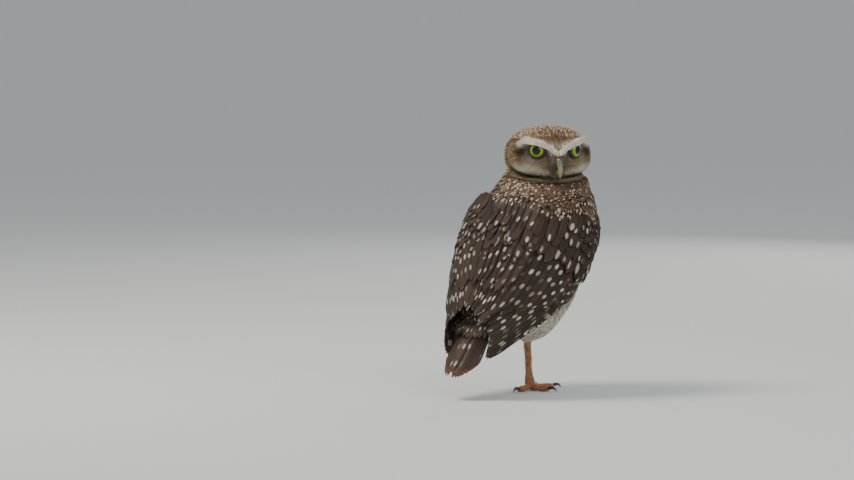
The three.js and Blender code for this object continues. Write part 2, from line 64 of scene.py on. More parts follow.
# Floor and light
# A plain pale floor runs off on every side, under one broad warm lamp, a cooler fill and an even sky.
floor_mesh = bpy.data.meshes.new("floor")
far = 900
floor_mesh.from_pydata([(-far, -far, 0), (far, -far, 0), (far, far, 0), (-far, far, 0)], [], [(0, 1, 2, 3)])
floor = bpy.data.objects.new("floor", floor_mesh)
bpy.context.scene.collection.objects.link(floor)
floor_paint = bpy.data.materials.new("floor")
floor_paint.use_nodes = True
floor_surface = floor_paint.node_tree.nodes["Principled BSDF"]
floor_surface.inputs["Base Color"].default_value = (0.62, 0.63, 0.6, 1)
floor_surface.inputs["Roughness"].default_value = 0.9
floor_mesh.materials.append(floor_paint)
sky = bpy.data.worlds.new("sky")
sky.use_nodes = True
sky_light = sky.node_tree.nodes["Background"]
sky_light.inputs["Color"].default_value = (0.9, 0.94, 1.0, 1)
sky_light.inputs["Strength"].default_value = 0.6
bpy.context.scene.world = sky


def lamp(name, place, size, power, colour):
    """A square soft lamp that faces the owl's middle."""
    light = bpy.data.lights.new(name, "AREA")
    light.energy = power
    light.size = size
    light.color = colour
    made = bpy.data.objects.new(name, light)
    bpy.context.scene.collection.objects.link(made)
    made.location = place
    made.rotation_euler = (Vector(place) - Vector((0, 0, 0.12))).to_track_quat("Z", "Y").to_euler()


lamp("lamp_high", (0.55, 0.55, 1.35), 0.5, 17, (1.0, 0.95, 0.86))
lamp("lamp_front", (-1.3, 0.5, 0.9), 1.2, 9, (0.95, 0.97, 1.0))
lamp("lamp_side", (0.5, -1.5, 0.8), 1.2, 7, (1.0, 0.98, 0.95))

# Skin
# One closed skin lies under the plumage: a head with its brow and face rims, the upper lids, the solids
# of the neck, body and thigh, and beds for the wings and the tail, melted together, smoothed, and drawn
# in by the depth of the feathers. Sizes from here on are in millimetres.
MM = 0.001
FOOT = np.array([0.5, -7.0, 0.0])
HEAD_CENTRE = np.array([1.0, -30.0, 202.5])
HEAD_TURN = math.radians(-121)
HEAD_NOD = math.radians(3)
WING_TOP = np.array([30.0, 180.0])
WING_SLOPE = math.radians(35.6)
random = np.random.default_rng(7)


def profile(pairs):
    """A smooth curve through pairs of place and value, as a function of the place."""
    at = np.array([pair[0] for pair in pairs], float)
    value = np.array([pair[1] for pair in pairs], float)
    slope = np.gradient(value, at)
    slope[1:-1] = (value[2:] - value[:-2]) / (at[2:] - at[:-2])

    def read(x):
        x = np.clip(np.asarray(x, float), at[0], at[-1])
        i = np.clip(np.searchsorted(at, x, side="right") - 1, 0, len(at) - 2)
        h = at[i + 1] - at[i]
        u = (x - at[i]) / h
        return (
            (2 * u**3 - 3 * u**2 + 1) * value[i]
            + (u**3 - 2 * u**2 + u) * h * slope[i]
            + (3 * u**2 - 2 * u**3) * value[i + 1]
            + (u**3 - u**2) * h * slope[i + 1]
        )

    return read


def mix(a, b, u):
    return a + (b - a) * u


def unit(v):
    return v / np.maximum(np.linalg.norm(v, axis=-1, keepdims=True), 1e-9)


def smooth(low, high, x):
    u = np.clip((x - low) / (high - low), 0, 1)
    return u * u * (3 - 2 * u)


wing_back = profile(
    [
        (-6, -18), (10, -30), (30, -37.5), (52, -39), (76, -38.5), (99, -33.5), (118, -28.5), (134, -24.5),
        (159, -18.5), (177, -15.5), (200, -12.5),
    ]
)
wing_front = profile(
    [
        (-6, 16), (10, 22), (30, 26.5), (52, 31.5), (70, 37), (88, 37.5), (105, 35), (127, 29), (140, 21.5),
        (152, 15.5), (167, 10), (186, 4.5), (200, 1),
    ]
)
wing_widest = profile([(-6, -3), (10, 2), (52, 8), (80, 10), (110, 8), (140, 3), (167, -3), (200, -6)])
wing_half = profile(
    [
        (-6, 46), (10, 54.5), (30, 57), (52, 57.5), (80, 55), (99, 51.5), (118, 46), (140, 37.5), (167, 26),
        (186, 18), (200, 15),
    ]
)
wing_front_half = profile(
    [
        (-6, 45), (10, 53), (36, 54.5), (52, 53), (80, 49), (110, 41.5), (140, 33), (167, 22), (186, 14),
        (200, 10),
    ]
)


def wing_guide(along, across):
    """The right wing's guide surface: along from shoulder to tip, across from 0 at the back to 1."""
    along, across = np.broadcast_arrays(np.asarray(along, float), np.asarray(across, float))
    back, front = wing_back(along), wing_front(along)
    widest, half = wing_widest(along), wing_half(along)
    turn = 0.62
    angle = np.clip(across / turn, 0, 1) * (math.pi / 2)
    out_a = half * np.sin(angle) ** 0.92
    forward_a = widest + (back - widest) * np.cos(angle) ** 0.92
    u = (across - turn) / (1 - turn)
    out_b = mix(half, wing_front_half(along), u**2)
    forward_b = mix(widest, front, np.sin(np.clip(u, 0, 1) * math.pi / 2) * 0.4 + u * 0.6)
    out = np.where(across < turn, out_a, out_b)
    forward = np.where(across < turn, forward_a, forward_b)
    s = WING_TOP[0] - along * math.sin(WING_SLOPE) + forward * math.cos(WING_SLOPE)
    z = WING_TOP[1] - along * math.cos(WING_SLOPE) - forward * math.sin(WING_SLOPE)
    return np.stack([-out, -s, z], -1)


def wing_point(along, across, lift):
    """A place lifted square off the wing's guide surface."""
    along, across = np.broadcast_arrays(np.asarray(along, float), np.asarray(across, float))
    down = wing_guide(along + 0.5, across) - wing_guide(along - 0.5, across)
    spot = np.clip(across, 0.02, 0.98)
    over = wing_guide(along, spot + 0.01) - wing_guide(along, spot - 0.01)
    return wing_guide(along, across) + unit(np.cross(down, over)) * np.asarray(lift, float)[..., None]


def loft(rings):
    """The points and faces of a closed skin over rings of points."""
    rings = np.asarray(rings, float)
    count, sides = rings.shape[:2]
    points = [tuple(p) for p in rings.reshape(-1, 3)]
    faces = []
    for r in range(count - 1):
        for i in range(sides):
            j = (i + 1) % sides
            faces.append((r * sides + i, r * sides + j, (r + 1) * sides + j, (r + 1) * sides + i))
    faces.append(tuple(reversed(range(sides))))
    faces.append(tuple(range((count - 1) * sides, count * sides)))
    return points, faces


def collar_height(p):
    """How far points in the body's frame stand above the tilted edge where the neck meets the head."""
    local = head_local(p - FOOT)
    return 0.970 * (local[..., 2] + 22.5) - 0.242 * (local[..., 1] + 30)


def below_collar(p, clear):
    """Points in the body's frame lowered until they and their mirror clear the collar's edge."""
    over = np.maximum(collar_height(p), collar_height(p * (-1, 1, 1))) + clear
    lowered = p.copy()
    lowered[..., 2] -= np.maximum(over, 0) / 0.97
    return lowered


def wing_bed():
    """Rings of the firm form under a wing's feathers."""
    alongs = [-2, 4, 12, 24, 38, 54, 70, 86, 102, 118, 132, 146]
    acrosses = np.array([0, 0.14, 0.3, 0.48, 0.64, 0.8, 0.9, 0.97])
    edge = 1 - 0.5 * np.clip((acrosses - 0.8) / 0.2, 0, 1) ** 2
    swell = profile(
        [(-2, -1), (4, 1.0), (12, 2.0), (38, 2.2), (70, 1.2), (102, -0.6), (118, -1.6), (146, -2.4)]
    )
    depth = profile([(-2, 3), (4, 5), (24, 8), (70, 8), (102, 5), (118, 4), (146, 3.2)])
    rings = []
    for along in alongs:
        spread = acrosses * mix(0.66, 1, smooth(0, 36, along))
        outer = wing_point(along, spread, swell(along) * edge)
        inner = wing_point(along, spread, -depth(along) * (0.35 + 0.65 * edge**2))
        rings.append(below_collar(np.concatenate([outer, inner[::-1]]), 3.0))
    return rings


def tail_point(along, across, lift):
    """A place on the tail: along from the shoulders' height, across from its middle, lifted off it."""
    along, across, lift = np.broadcast_arrays(
        np.asarray(along, float), np.asarray(across, float), np.asarray(lift, float)
    )
    y = -(WING_TOP[0] - along * math.sin(WING_SLOPE))
    z = WING_TOP[1] - along * math.cos(WING_SLOPE)
    forward = -8.5 + (across / 21) ** 2 * 3.2 - lift
    y = y - forward * math.cos(WING_SLOPE)
    z = z - forward * math.sin(WING_SLOPE)
    return np.stack([across, y, z], -1)


def tail_bed():
    """Rings of the firm form under the tail's roots."""
    half = profile([(100, 24), (118, 23), (144, 17), (164, 8)])
    under = profile([(100, 22), (118, 22), (130, 18), (144, 9), (156, 0), (164, -5)])
    over = profile([(100, -17), (118, -15), (144, -10), (164, -8.2)])
    angle = np.linspace(0, 2 * math.pi, 24, endpoint=False)
    rings = []
    for along in (100, 108, 118, 130, 144, 156, 164):
        middle, reach = (under(along) + over(along)) / 2, (under(along) - over(along)) / 2
        forward = middle + reach * np.sin(angle)
        y = -(WING_TOP[0] - along * math.sin(WING_SLOPE)) - forward * math.cos(WING_SLOPE)
        z = WING_TOP[1] - along * math.cos(WING_SLOPE) - forward * math.sin(WING_SLOPE)
        rings.append(np.stack([half(along) * np.cos(angle), y, z], -1))
    return rings


def head_turned(v):
    """A way in the head's own frame, which faces -Y, as a way in the owl's."""
    c, s = math.cos(HEAD_NOD), math.sin(HEAD_NOD)
    x, y, z = v[..., 0], c * v[..., 1] - s * v[..., 2], s * v[..., 1] + c * v[..., 2]
    c, s = math.cos(HEAD_TURN), math.sin(HEAD_TURN)
    return np.stack([c * x - s * y, s * x + c * y, z], -1)


def head_place(p):
    """A place in the head's own frame as a place on the owl."""
    return head_turned(np.asarray(p, float)) + HEAD_CENTRE - FOOT


def head_local(p):
    """A place on the owl as a place in the head's own frame."""
    v = np.asarray(p, float) + FOOT - HEAD_CENTRE
    c, s = math.cos(-HEAD_TURN), math.sin(-HEAD_TURN)
    x, y, z = c * v[..., 0] - s * v[..., 1], s * v[..., 0] + c * v[..., 1], v[..., 2]
    c, s = math.cos(-HEAD_NOD), math.sin(-HEAD_NOD)
    return np.stack([x, c * y - s * z, s * y + c * z], -1)


def shape(name, points, faces):
    """A mesh object from points in millimetres."""
    mesh = bpy.data.meshes.new(name)
    mesh.from_pydata(np.asarray(points) * MM, [], faces)
    mesh.update()
    made = bpy.data.objects.new(name, mesh)
    bpy.context.scene.collection.objects.link(made)
    return made


def settled(made):
    """The piece with its modifiers made real."""
    graph = bpy.context.evaluated_depsgraph_get()
    mesh = bpy.data.meshes.new_from_object(made.evaluated_get(graph))
    made.modifiers.clear()
    made.data = mesh
    return made


flesh_points = []
flesh_faces = []


def add_flesh(points, faces):
    start = len(flesh_points)
    flesh_points.extend(tuple(p) for p in points)
    flesh_faces.extend(tuple(start + i for i in face) for face in faces)


BROW_BED = [(2, -27.7, 4), (10.4, -25.4, 9.9), (17.5, -22.1, 12.5), (25, -16.9, 13.5), (29.3, -14.5, 11.4)]
DISC_RIM = [(0, -29, -21), (12, -28, -20), (22, -23.5, -16.5), (31, -14, -9), (34.5, -6, 2), (33, -4, 12)]
EYE_FRONT = np.array([19.2, -27.7, 6.6])
EYE_RADIUS = 9.2
EYE_SPLAY = math.radians(31)


def nearness(points, path, reach):
    """How near points in the head's frame are to a path, the same on both sides: 1 on it, 0 far off."""
    spot = points * 1.0
    spot[..., 0] = np.abs(spot[..., 0])
    path = np.asarray(path, float)
    nearest = np.full(spot.shape[:-1], 1e9)
    for a, b in zip(path[:-1], path[1:], strict=True):
        way = b - a
        u = np.clip(((spot - a) @ way) / (way @ way), 0, 1)
        nearest = np.minimum(nearest, np.linalg.norm(spot - (a + u[..., None] * way), axis=-1))
    return np.exp(-((nearest / reach) ** 2))


def ball_form(subdivisions, radius):
    ball = bmesh.new()
    bmesh.ops.create_icosphere(ball, subdivisions=subdivisions, radius=radius)
    spots = np.array([v.co for v in ball.verts])
    faces = [tuple(v.index for v in f.verts) for f in ball.faces]
    ball.free()
    return spots, faces


def head_form():
    """The head in its own frame: a broad low dome with raised brows and face rims, and sunk eyes."""
    ways, faces = ball_form(6, 1)
    ways = unit(ways)
    depth = np.where(ways[:, 1] < 0, 28, 34)
    height = np.where(ways[:, 2] > 0, 26, 24)
    half = np.stack([np.full(len(ways), 37.5), depth, height], -1)
    base = (np.abs(ways / half) ** 2.15).sum(1) ** (-1 / 2.15)
    spot = ways * base[:, None]
    relief = (
        3.2 * nearness(spot, BROW_BED, 4.6)
        + 2.2 * nearness(spot, DISC_RIM, 3.6)
        + 2.6 * nearness(spot, [(0, -30, 3), (0, -32, -5)], 6)
        + 1.6 * nearness(spot, [(13, -30, -10), (20, -25, -9)], 7)
        - 3.0 * nearness(spot, [EYE_FRONT, EYE_FRONT + 0.01], 9)
    )
    return ways * (base + relief)[:, None], faces


def eye_frame(side):
    """An eye's centre, and the ways that it looks, across and up."""
    aim = np.array([side * math.sin(EYE_SPLAY), -math.cos(EYE_SPLAY), 0.0])
    across = np.array([math.cos(EYE_SPLAY), side * math.sin(EYE_SPLAY), 0.0])
    centre = EYE_FRONT * (side, 1, 1) - aim * EYE_RADIUS
    return centre, aim, across, np.array([0.0, 0.0, 1.0])


def lid_dome(side):
    """The upper lid over an eyeball: a ball cut off below a line that falls towards the bill."""
    centre, aim, across, up = eye_frame(side)
    spots, faces = ball_form(4, EYE_RADIUS + 2.1)
    height = np.maximum(spots[:, 2], 5.6 + 0.32 * side * spots[:, 0])
    spots = centre + spots[:, :1] * across - spots[:, 1:2] * aim + height[:, None] * up
    return spots, faces


NECK_BASE = 178
head_points, head_faces = head_form()
add_flesh(head_place(head_points), head_faces)
for side in (1, -1):
    dome_points, dome_faces = lid_dome(side)
    add_flesh(head_place(dome_points), dome_faces)
for node in ("neck", "torso", "thigh_right"):
    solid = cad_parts[node].data
    add_flesh([tuple(v.co / MM) for v in solid.vertices], [tuple(f.vertices) for f in solid.polygons])
for side in (1, -1):
    bed_points, bed_faces = loft(np.array(wing_bed()) * (side, 1, 1) - FOOT)
    add_flesh(bed_points, bed_faces if side > 0 else [face[::-1] for face in bed_faces])
add_flesh(*loft(np.array(tail_bed()) - FOOT))
skin = shape("skin", flesh_points, flesh_faces)
melt = skin.modifiers.new("melt", "REMESH")
melt.mode = "VOXEL"
melt.voxel_size = 1.3 * MM
ease = skin.modifiers.new("ease", "SMOOTH")
ease.factor = 0.6
ease.iterations = 8
settled(skin)
low_down = skin.vertex_groups.new(name="body")
for vertex in skin.data.vertices:
    below = NECK_BASE - vertex.co.z / MM
    if below > 0:
        low_down.add([vertex.index], min(1, below / 8), "REPLACE")
calm = skin.modifiers.new("calm", "SMOOTH")
calm.vertex_group = "body"
calm.factor = 0.6
calm.iterations = 40
settled(skin)
skin_points = np.zeros(len(skin.data.vertices) * 3)
skin.data.vertices.foreach_get("co", skin_points)
skin_points = skin_points.reshape(-1, 3) / MM
skin_normals = np.zeros_like(skin_points).reshape(-1)
skin.data.vertices.foreach_get("normal", skin_normals)
skin_normals = skin_normals.reshape(-1, 3)
on_head = head_local(skin_points)
on_face = smooth(-2, -16, on_head[:, 1]) * smooth(-30, -20, on_head[:, 2])
coat_depth = mix(2.2, 1.0, on_face)
skin_points = skin_points - skin_normals * coat_depth[:, None]
skin.data.vertices.foreach_set("co", (skin_points * MM).reshape(-1))
skin.data.update()
skin.data.shade_smooth()
skin_tree = BVHTree.FromPolygons(
    [tuple(p) for p in skin_points], [tuple(f.vertices) for f in skin.data.polygons]
)

# Markings and painted light
# The colours of the plumage by place, for each feather that grows there, and at half strength for the skin,
# as painted shade under the feathers: dark brown above with white spots, buff and barred below, a white
# brow, a pale face and a white chin band with a painted shadow line under it. Painted shade darkens the
# eye corners and the upper breast, and painted sunlight lightens the nape.
BROW = [
    (0, -30.3, 3.2), (2.2, -30.3, 4.6), (8, -28.9, 8.6), (12, -28, 10.6), (16, -27, 12), (20, -24.6, 13.2),
    (25.5, -19.2, 14), (30, -15.8, 12),
]
CHIN_BAND = [(0, -26, -15.5), (8, -25.5, -14.5), (15, -24, -12.5), (23, -21, -10), (32, -11.5, -9)]
# Painted shadow: a dark line under the chin band, where the face's rim overhangs the throat.
CHIN_SHADOW = [(0, -21, -20.5), (13, -20.5, -17.5), (21, -17, -16.5), (27, -12.5, -15.5), (33, -6, -12)]
LORE = [(9.5, -28, 3.5), (6.5, -30, -2), (6, -30, -9)]


def blotches(points, size, seed):
    """A smooth random field in -1 to 1, from a few waves."""
    draw = np.random.default_rng(seed)
    total = np.zeros(points.shape[:-1])
    for _ in range(7):
        way = unit(draw.normal(size=3)) * draw.uniform(0.7, 1.6) / size
        total += np.sin(points @ way * 2 * math.pi + draw.uniform(0, 6.3))
    return total / 3.2


def layer(colours, colour, share):
    """One more colour laid over others, by its share at each place."""
    return colours + (np.asarray(colour) - colours) * np.clip(share, 0, 1)[..., None]


def head_colour(p):
    """Base colour over the head, from places in its own frame."""
    far_out = np.abs(p[..., 0])
    mirror = np.where(p[..., :1] < 0, (-1, 1, 1), (1, 1, 1))
    eye_away = np.linalg.norm(p - EYE_FRONT * mirror, axis=-1)

    def near(spot, reach):
        return np.exp(-(np.linalg.norm(p - np.array(spot) * mirror, axis=-1) / reach) ** 2)

    colours = np.broadcast_to(np.array([0.20, 0.115, 0.06]), p.shape).copy()
    colours = layer(colours, (0.30, 0.19, 0.11), 0.5 + 0.5 * blotches(p, 8, 3))
    face = smooth(4, -10, p[..., 1]) * smooth(15, 9, p[..., 2])
    colours = layer(colours, (0.40, 0.31, 0.20), face)
    cheek = face * smooth(24, 31, far_out + 0.2 * p[..., 2])
    colours = layer(colours, (0.30, 0.18, 0.085), cheek * 0.9)
    flecks = face * smooth(29, 34, far_out) * smooth(0.1, 0.5, blotches(p, 4, 8))
    colours = layer(colours, (0.62, 0.54, 0.40), flecks * 0.7)
    colours = layer(colours, (0.46, 0.39, 0.35), near((23, -23, -1), 6.0) * 1.2)
    colours = layer(colours, (0.38, 0.29, 0.17), near((19, -25, -6.5), 4.5) * 0.9)
    # Painted shade: a dark patch at the eye's outer corner, under the brow's end.
    colours = layer(colours, (0.085, 0.043, 0.02), near((30, -17, 6.5), 6.2) * 1.35)
    colours = layer(colours, (0.17, 0.125, 0.075), nearness(p, LORE, 4.2) * 0.95)
    # Painted shade: a dark spot at the eye's inner corner.
    colours = layer(colours, (0.05, 0.032, 0.02), near((10.5, -28, 4), 3.4) * 1.2)
    colours = layer(colours, (0.05, 0.035, 0.024), np.exp(-(((eye_away - 8) / 1.7) ** 2)) * 0.9)
    brow = nearness(p, BROW, 3.3) * smooth(8.4, 9.6, eye_away + 1.2)
    colours = layer(colours, (0.86, 0.82, 0.75), brow * 1.45)
    colours = layer(colours, (0.86, 0.80, 0.62), nearness(p, CHIN_BAND, 3.4) * 1.5)
    # Painted shadow line under the chin band.
    colours = layer(colours, (0.035, 0.024, 0.018), nearness(p, CHIN_SHADOW, 2.2) * 1.3)
    return colours


def body_colour(p):
    """Base colour over the neck, back and belly, with a painted sunlit nape and a painted shaded upper
    breast.
    """
    q = p + FOOT
    turned = np.arctan2(q[..., 1] + 4, np.abs(q[..., 0]))  # +90 degrees at the back, -90 at the breast
    above = smooth(-0.35, 0.1, turned) * np.maximum(smooth(56, 84, q[..., 2]), smooth(38, 56, q[..., 1]))
    plain = np.ones(p.shape)
    # Painted sunlight: the back's brown grows lighter towards the nape.
    back = layer(plain * (0.075, 0.05, 0.036), (0.16, 0.102, 0.066), smooth(140, 175, q[..., 2]))
    # The throat and upper breast are brown, darkened further as painted shade.
    throat = smooth(126, 156, q[..., 2] + 9 * blotches(p, 12, 6))
    breast = layer(plain * (0.60, 0.51, 0.39), (0.15, 0.10, 0.068), throat)
    breast = layer(breast, (0.76, 0.70, 0.60), smooth(100, 66, q[..., 2]))
    colours = mix(breast, back, np.maximum(above, smooth(166, 180, q[..., 2]))[..., None])
    return colours * (1 + 0.12 * blotches(p, 14, 5))[..., None]


def place_colour(p):
    """The colour of the plumage at places anywhere on the owl."""
    local = head_local(p)
    inside = np.sqrt((local[..., 0] / 40) ** 2 + (local[..., 1] / 36) ** 2 + (local[..., 2] / 28) ** 2)
    share = smooth(1.12, 0.98, inside)
    return mix(body_colour(p), head_colour(local), share[..., None])


def set_tint(mesh, colours):
    """Stores a colour at each point, which the shaders read."""
    attribute = mesh.color_attributes.new("tint", "FLOAT_COLOR", "POINT")
    full = np.ones((len(colours), 4))
    full[:, :3] = np.clip(colours, 0.004, 1)
    attribute.data.foreach_set("color", full.reshape(-1))


class Ink:
    """A shader socket that takes part in sums as a number does."""

    def __init__(self, tree, socket):
        self.tree = tree
        self.socket = socket

    def node(self, kind, settings=None, values=None, output=0):
        """Any shader node, from its type, its settings, and the numbers or inks on its sockets."""
        made = self.tree.nodes.new(kind)
        for key, value in (settings or {}).items():
            if key == "stops":
                while len(made.color_ramp.elements) < len(value):
                    made.color_ramp.elements.new(0.5)
                for stop, (place, colour) in zip(made.color_ramp.elements, value, strict=True):
                    stop.position = place
                    stop.color = (*colour, 1)
            else:
                setattr(made, key, value)
        for key, value in (values or {}).items():
            if isinstance(value, Ink):
                self.tree.links.new(value.socket, made.inputs[key])
            else:
                made.inputs[key].default_value = value
        return Ink(self.tree, made.outputs[output])

    def math(self, operation, *others):
        return self.node("ShaderNodeMath", {"operation": operation}, dict(enumerate((self, *others))))

    def __add__(self, other):
        return self.math("ADD", other)

    __radd__ = __add__

    def __mul__(self, other):
        return self.math("MULTIPLY", other)

    __rmul__ = __mul__

    def __sub__(self, other):
        return self.math("SUBTRACT", other)

    def __rsub__(self, other):
        return self.node("ShaderNodeMath", {"operation": "SUBTRACT"}, {0: other, 1: self})

    def __truediv__(self, other):
        return self.math("DIVIDE", other)

    def step(self, low, high):
        """0 below low and 1 above high, with a soft edge between; high may be the lower one."""
        values = {"Value": self, "From Min": low, "From Max": high}
        return self.node("ShaderNodeMapRange", {"interpolation_type": "SMOOTHSTEP"}, values)

    def blend(self, share, colour, way="MIX"):
        """This colour with another laid over it."""
        made = self.tree.nodes.new("ShaderNodeMix")
        made.data_type = "RGBA"
        made.blend_type = way
        for key, value in ((0, share), (6, self), (7, colour)):
            if isinstance(value, Ink):
                self.tree.links.new(value.socket, made.inputs[key])
            else:
                made.inputs[key].default_value = value
        return Ink(self.tree, made.outputs[2])


def finish(name, roughness):
    """A new material, its surface shader, and an empty ink that starts its sums."""
    material = bpy.data.materials.new(name)
    material.use_nodes = True
    surface = material.node_tree.nodes["Principled BSDF"]
    surface.inputs["Roughness"].default_value = roughness
    return material, surface, Ink(material.node_tree, None)


def connect(ink, surface, socket):
    ink.tree.links.new(ink.socket, surface.inputs[socket])


def bumped(height, surface, strength, distance):
    """A fine relief on a surface, in metres."""
    values = {"Strength": strength, "Distance": distance, "Height": height}
    connect(height.node("ShaderNodeBump", None, values, output="Normal"), surface, "Normal")


def skin_finish():
    material, surface, ink = finish("skin_down", 0.95)
    tint = ink.node("ShaderNodeAttribute", {"attribute_name": "tint"}, output="Color")
    place = ink.node("ShaderNodeTexCoord", output="Object")
    down = ink.node("ShaderNodeTexNoise", None, {"Vector": place, "Scale": 900.0, "Detail": 3.0})
    connect(tint.blend(down.step(0.35, 0.7) * 0.5, (0.02, 0.015, 0.012, 1)), surface, "Base Color")
    bumped(down, surface, 0.6, 0.0006)
    surface.inputs["Specular IOR Level"].default_value = 0.15
    return material


# Painted shade: the skin takes the plumage's colours at half strength, darker where it shows between
# feathers.
set_tint(skin.data, place_colour(skin_points) * 0.5)
skin.data.materials.append(skin_finish())
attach(skin, "root")
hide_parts("head", "neck", "torso", "thigh_right")

# Plumage of the head and body
# Each small feather is a thin closed vane that grows from the skin, follows it down the lie of the coat
# and lies over the next: broad with a ragged tip on the body, a bristle on the face. Long white plumes
# make the brows, stiff bristles hide the bill's base, and soft down fills the belly.


def scattered(spacing, wanted, seed, tries):
    """Places on the skin at least spacing(place) apart, where wanted(place, normal) is true."""
    draw = np.random.default_rng(seed)
    skin.data.calc_loop_triangles()
    corners = np.zeros(len(skin.data.loop_triangles) * 3, int)
    skin.data.loop_triangles.foreach_get("vertices", corners)
    corners = corners.reshape(-1, 3)
    a, b, c = (skin_points[corners[:, k]] for k in range(3))
    cross = np.cross(b - a, c - a)
    area = np.linalg.norm(cross, axis=1) / 2 * wanted((a + b + c) / 3, unit(cross))
    pick = draw.choice(len(area), tries, p=area / area.sum())
    s, t = draw.random(tries), draw.random(tries)
    over = s + t > 1
    s[over], t[over] = 1 - s[over], 1 - t[over]
    places = a[pick] + (b - a)[pick] * s[:, None] + (c - a)[pick] * t[:, None]
    normals = unit(cross[pick])
    keep = wanted(places, normals)
    places, normals = places[keep], normals[keep]
    apart = spacing(places)
    cell = float(apart.max())
    held = {}
    chosen = []
    for i, (p, gap) in enumerate(zip(places, apart, strict=True)):
        key = (int(p[0] // cell), int(p[1] // cell), int(p[2] // cell))
        around = itertools.product(*((k - 1, k, k + 1) for k in key))
        near = (taken for box in around for taken in held.get(box, ()))
        if all(
            (p[0] - q[0]) ** 2 + (p[1] - q[1]) ** 2 + (p[2] - q[2]) ** 2 >= min(gap, other) ** 2
            for q, other in near
        ):
            held.setdefault(key, []).append((p, gap))
            chosen.append(i)
    return places[chosen], normals[chosen]


def laid(places, normals, flow, length, stations):
    """Centres and normals at each station, from each root along the skin, down the flow."""
    centres = [places]
    ups = [normals]
    here, up = places.copy(), normals.copy()
    for step in np.diff(stations):
        way = flow(here)
        way = unit(way - up * np.sum(way * up, axis=1, keepdims=True))
        target = here + way * (length * step)[:, None]
        found = np.empty_like(here)
        turned = np.empty_like(up)
        for i, spot in enumerate(target):
            place, normal, _, _ = skin_tree.find_nearest(Vector(spot))
            found[i] = place
            turned[i] = normal
        here = found
        up = unit(up + turned)
        centres.append(here.copy())
        ups.append(up.copy())
    return np.stack(centres, 1), np.stack(ups, 1)


def piece_of(name, points, polygons, vane, tint, mark, bake):
    """A mesh from point and polygon arrays, with what the feather shaders and the bake map read."""
    mesh = bpy.data.meshes.new(name)
    mesh.vertices.add(len(points))
    mesh.vertices.foreach_set("co", (points * MM).astype(np.float32).reshape(-1))
    sizes = np.concatenate([np.full(len(p), p.shape[1]) for p in polygons])
    corners = np.concatenate([p.reshape(-1) for p in polygons])
    mesh.loops.add(len(corners))
    mesh.loops.foreach_set("vertex_index", corners.astype(np.int32))
    mesh.polygons.add(len(sizes))
    mesh.polygons.foreach_set("loop_start", np.concatenate([[0], np.cumsum(sizes)[:-1]]).astype(np.int32))
    mesh.update(calc_edges=True)
    mesh.shade_smooth()
    for label, values in (("vane", vane), ("mark", mark)):
        attribute = mesh.attributes.new(label, "FLOAT_VECTOR", "POINT")
        attribute.data.foreach_set("vector", values.astype(np.float32).reshape(-1))
    set_tint(mesh, tint)
    bake_map = mesh.uv_layers.new(name="OFBake")
    bake_map.data.foreach_set("uv", bake[corners].astype(np.float32).reshape(-1))
    made = bpy.data.objects.new(name, mesh)
    bpy.context.scene.collection.objects.link(made)
    return made


def vane_faces(count, rows, chords, turned=True):
    """The sides and ends of closed vanes: rows of chords points on top and one point below."""
    per = chords + 1
    base = (np.arange(count) * rows * per)[:, None]
    sides = []
    for j in range(rows - 1):
        a, b = j * per, (j + 1) * per
        for k in range(chords):
            sides.append([a + k, a + k + 1, b + k + 1, b + k])
        sides.append([a + chords, a, b, b + chords])
    sides = (base[:, :, None] + np.array(sides)[None]).reshape(-1, 4)
    ring = np.arange(per)
    ends = np.concatenate([base + ring[::-1], base + (rows - 1) * per + ring])
    return [sides[:, ::-1], ends[:, ::-1]] if turned else [sides, ends]


def vane_places(stations, chords, seeds):
    """What the shaders read at each point of a vane: place along it, place across, and its seed."""
    size = (len(seeds), len(stations), chords + 1)
    u = np.broadcast_to(stations[None, :, None], size)
    v = np.broadcast_to(np.concatenate([np.linspace(-1, 1, chords), [0.0]]), size)
    return np.stack([u, v, np.broadcast_to(seeds[:, None, None], size)], -1)


PLAIN_MARK = np.array([0, 0.7, 0.4])
PATCH = 0.003


def vanes(name, centres, ups, widths, thickness, cup, chords, ragged, tint, roots_on_map, mark=PLAIN_MARK):
    """Closed vanes from centre lines: (feathers, stations, 3) centres and normals, and half widths."""
    count, stations = centres.shape[:2]
    draw = np.random.default_rng(count)
    ways = np.gradient(centres, axis=1)
    sides = unit(np.cross(ups, ways))
    ups = unit(np.cross(ways, sides))
    t = np.linspace(-1, 1, chords)
    shift = t[None, None, :, None] * widths[..., None, None] * sides[:, :, None, :]
    curve = cup * (t**2)[None, None, :] * widths[..., None]
    rise = (thickness * (1 - t**2)[None, None, :] - curve)[..., None]
    top = centres[:, :, None, :] + shift + rise * ups[:, :, None, :]
    fray = draw.uniform(-1, 0.25, (count, 1, chords, 1)) * ragged * widths.max(1)[:, None, None, None]
    reach = np.zeros(stations)
    reach[-1], reach[-2] = 1.0, 0.35
    top = top + fray * reach[None, :, None, None] * unit(ways)[:, :, None, :]
    under = centres - ups * thickness * 0.8
    points = np.concatenate([top, under[:, :, None, :]], 2)
    vane = vane_places(np.linspace(0, 1, stations), chords, draw.random(count))
    tints = np.broadcast_to(tint[:, None, None, :], points.shape).reshape(-1, 3)
    marks = np.broadcast_to(mark, (count, 3))[:, None, None, :]
    marks = np.broadcast_to(marks, points.shape).reshape(-1, 3)
    bake = roots_on_map[:, None, None, :] + (vane[..., :2] - (0.5, 0)) * (PATCH, PATCH / 2)
    return piece_of(
        name, points.reshape(-1, 3), vane_faces(count, stations, chords), vane.reshape(-1, 3), tints, marks,
        bake.reshape(-1, 2),
    )


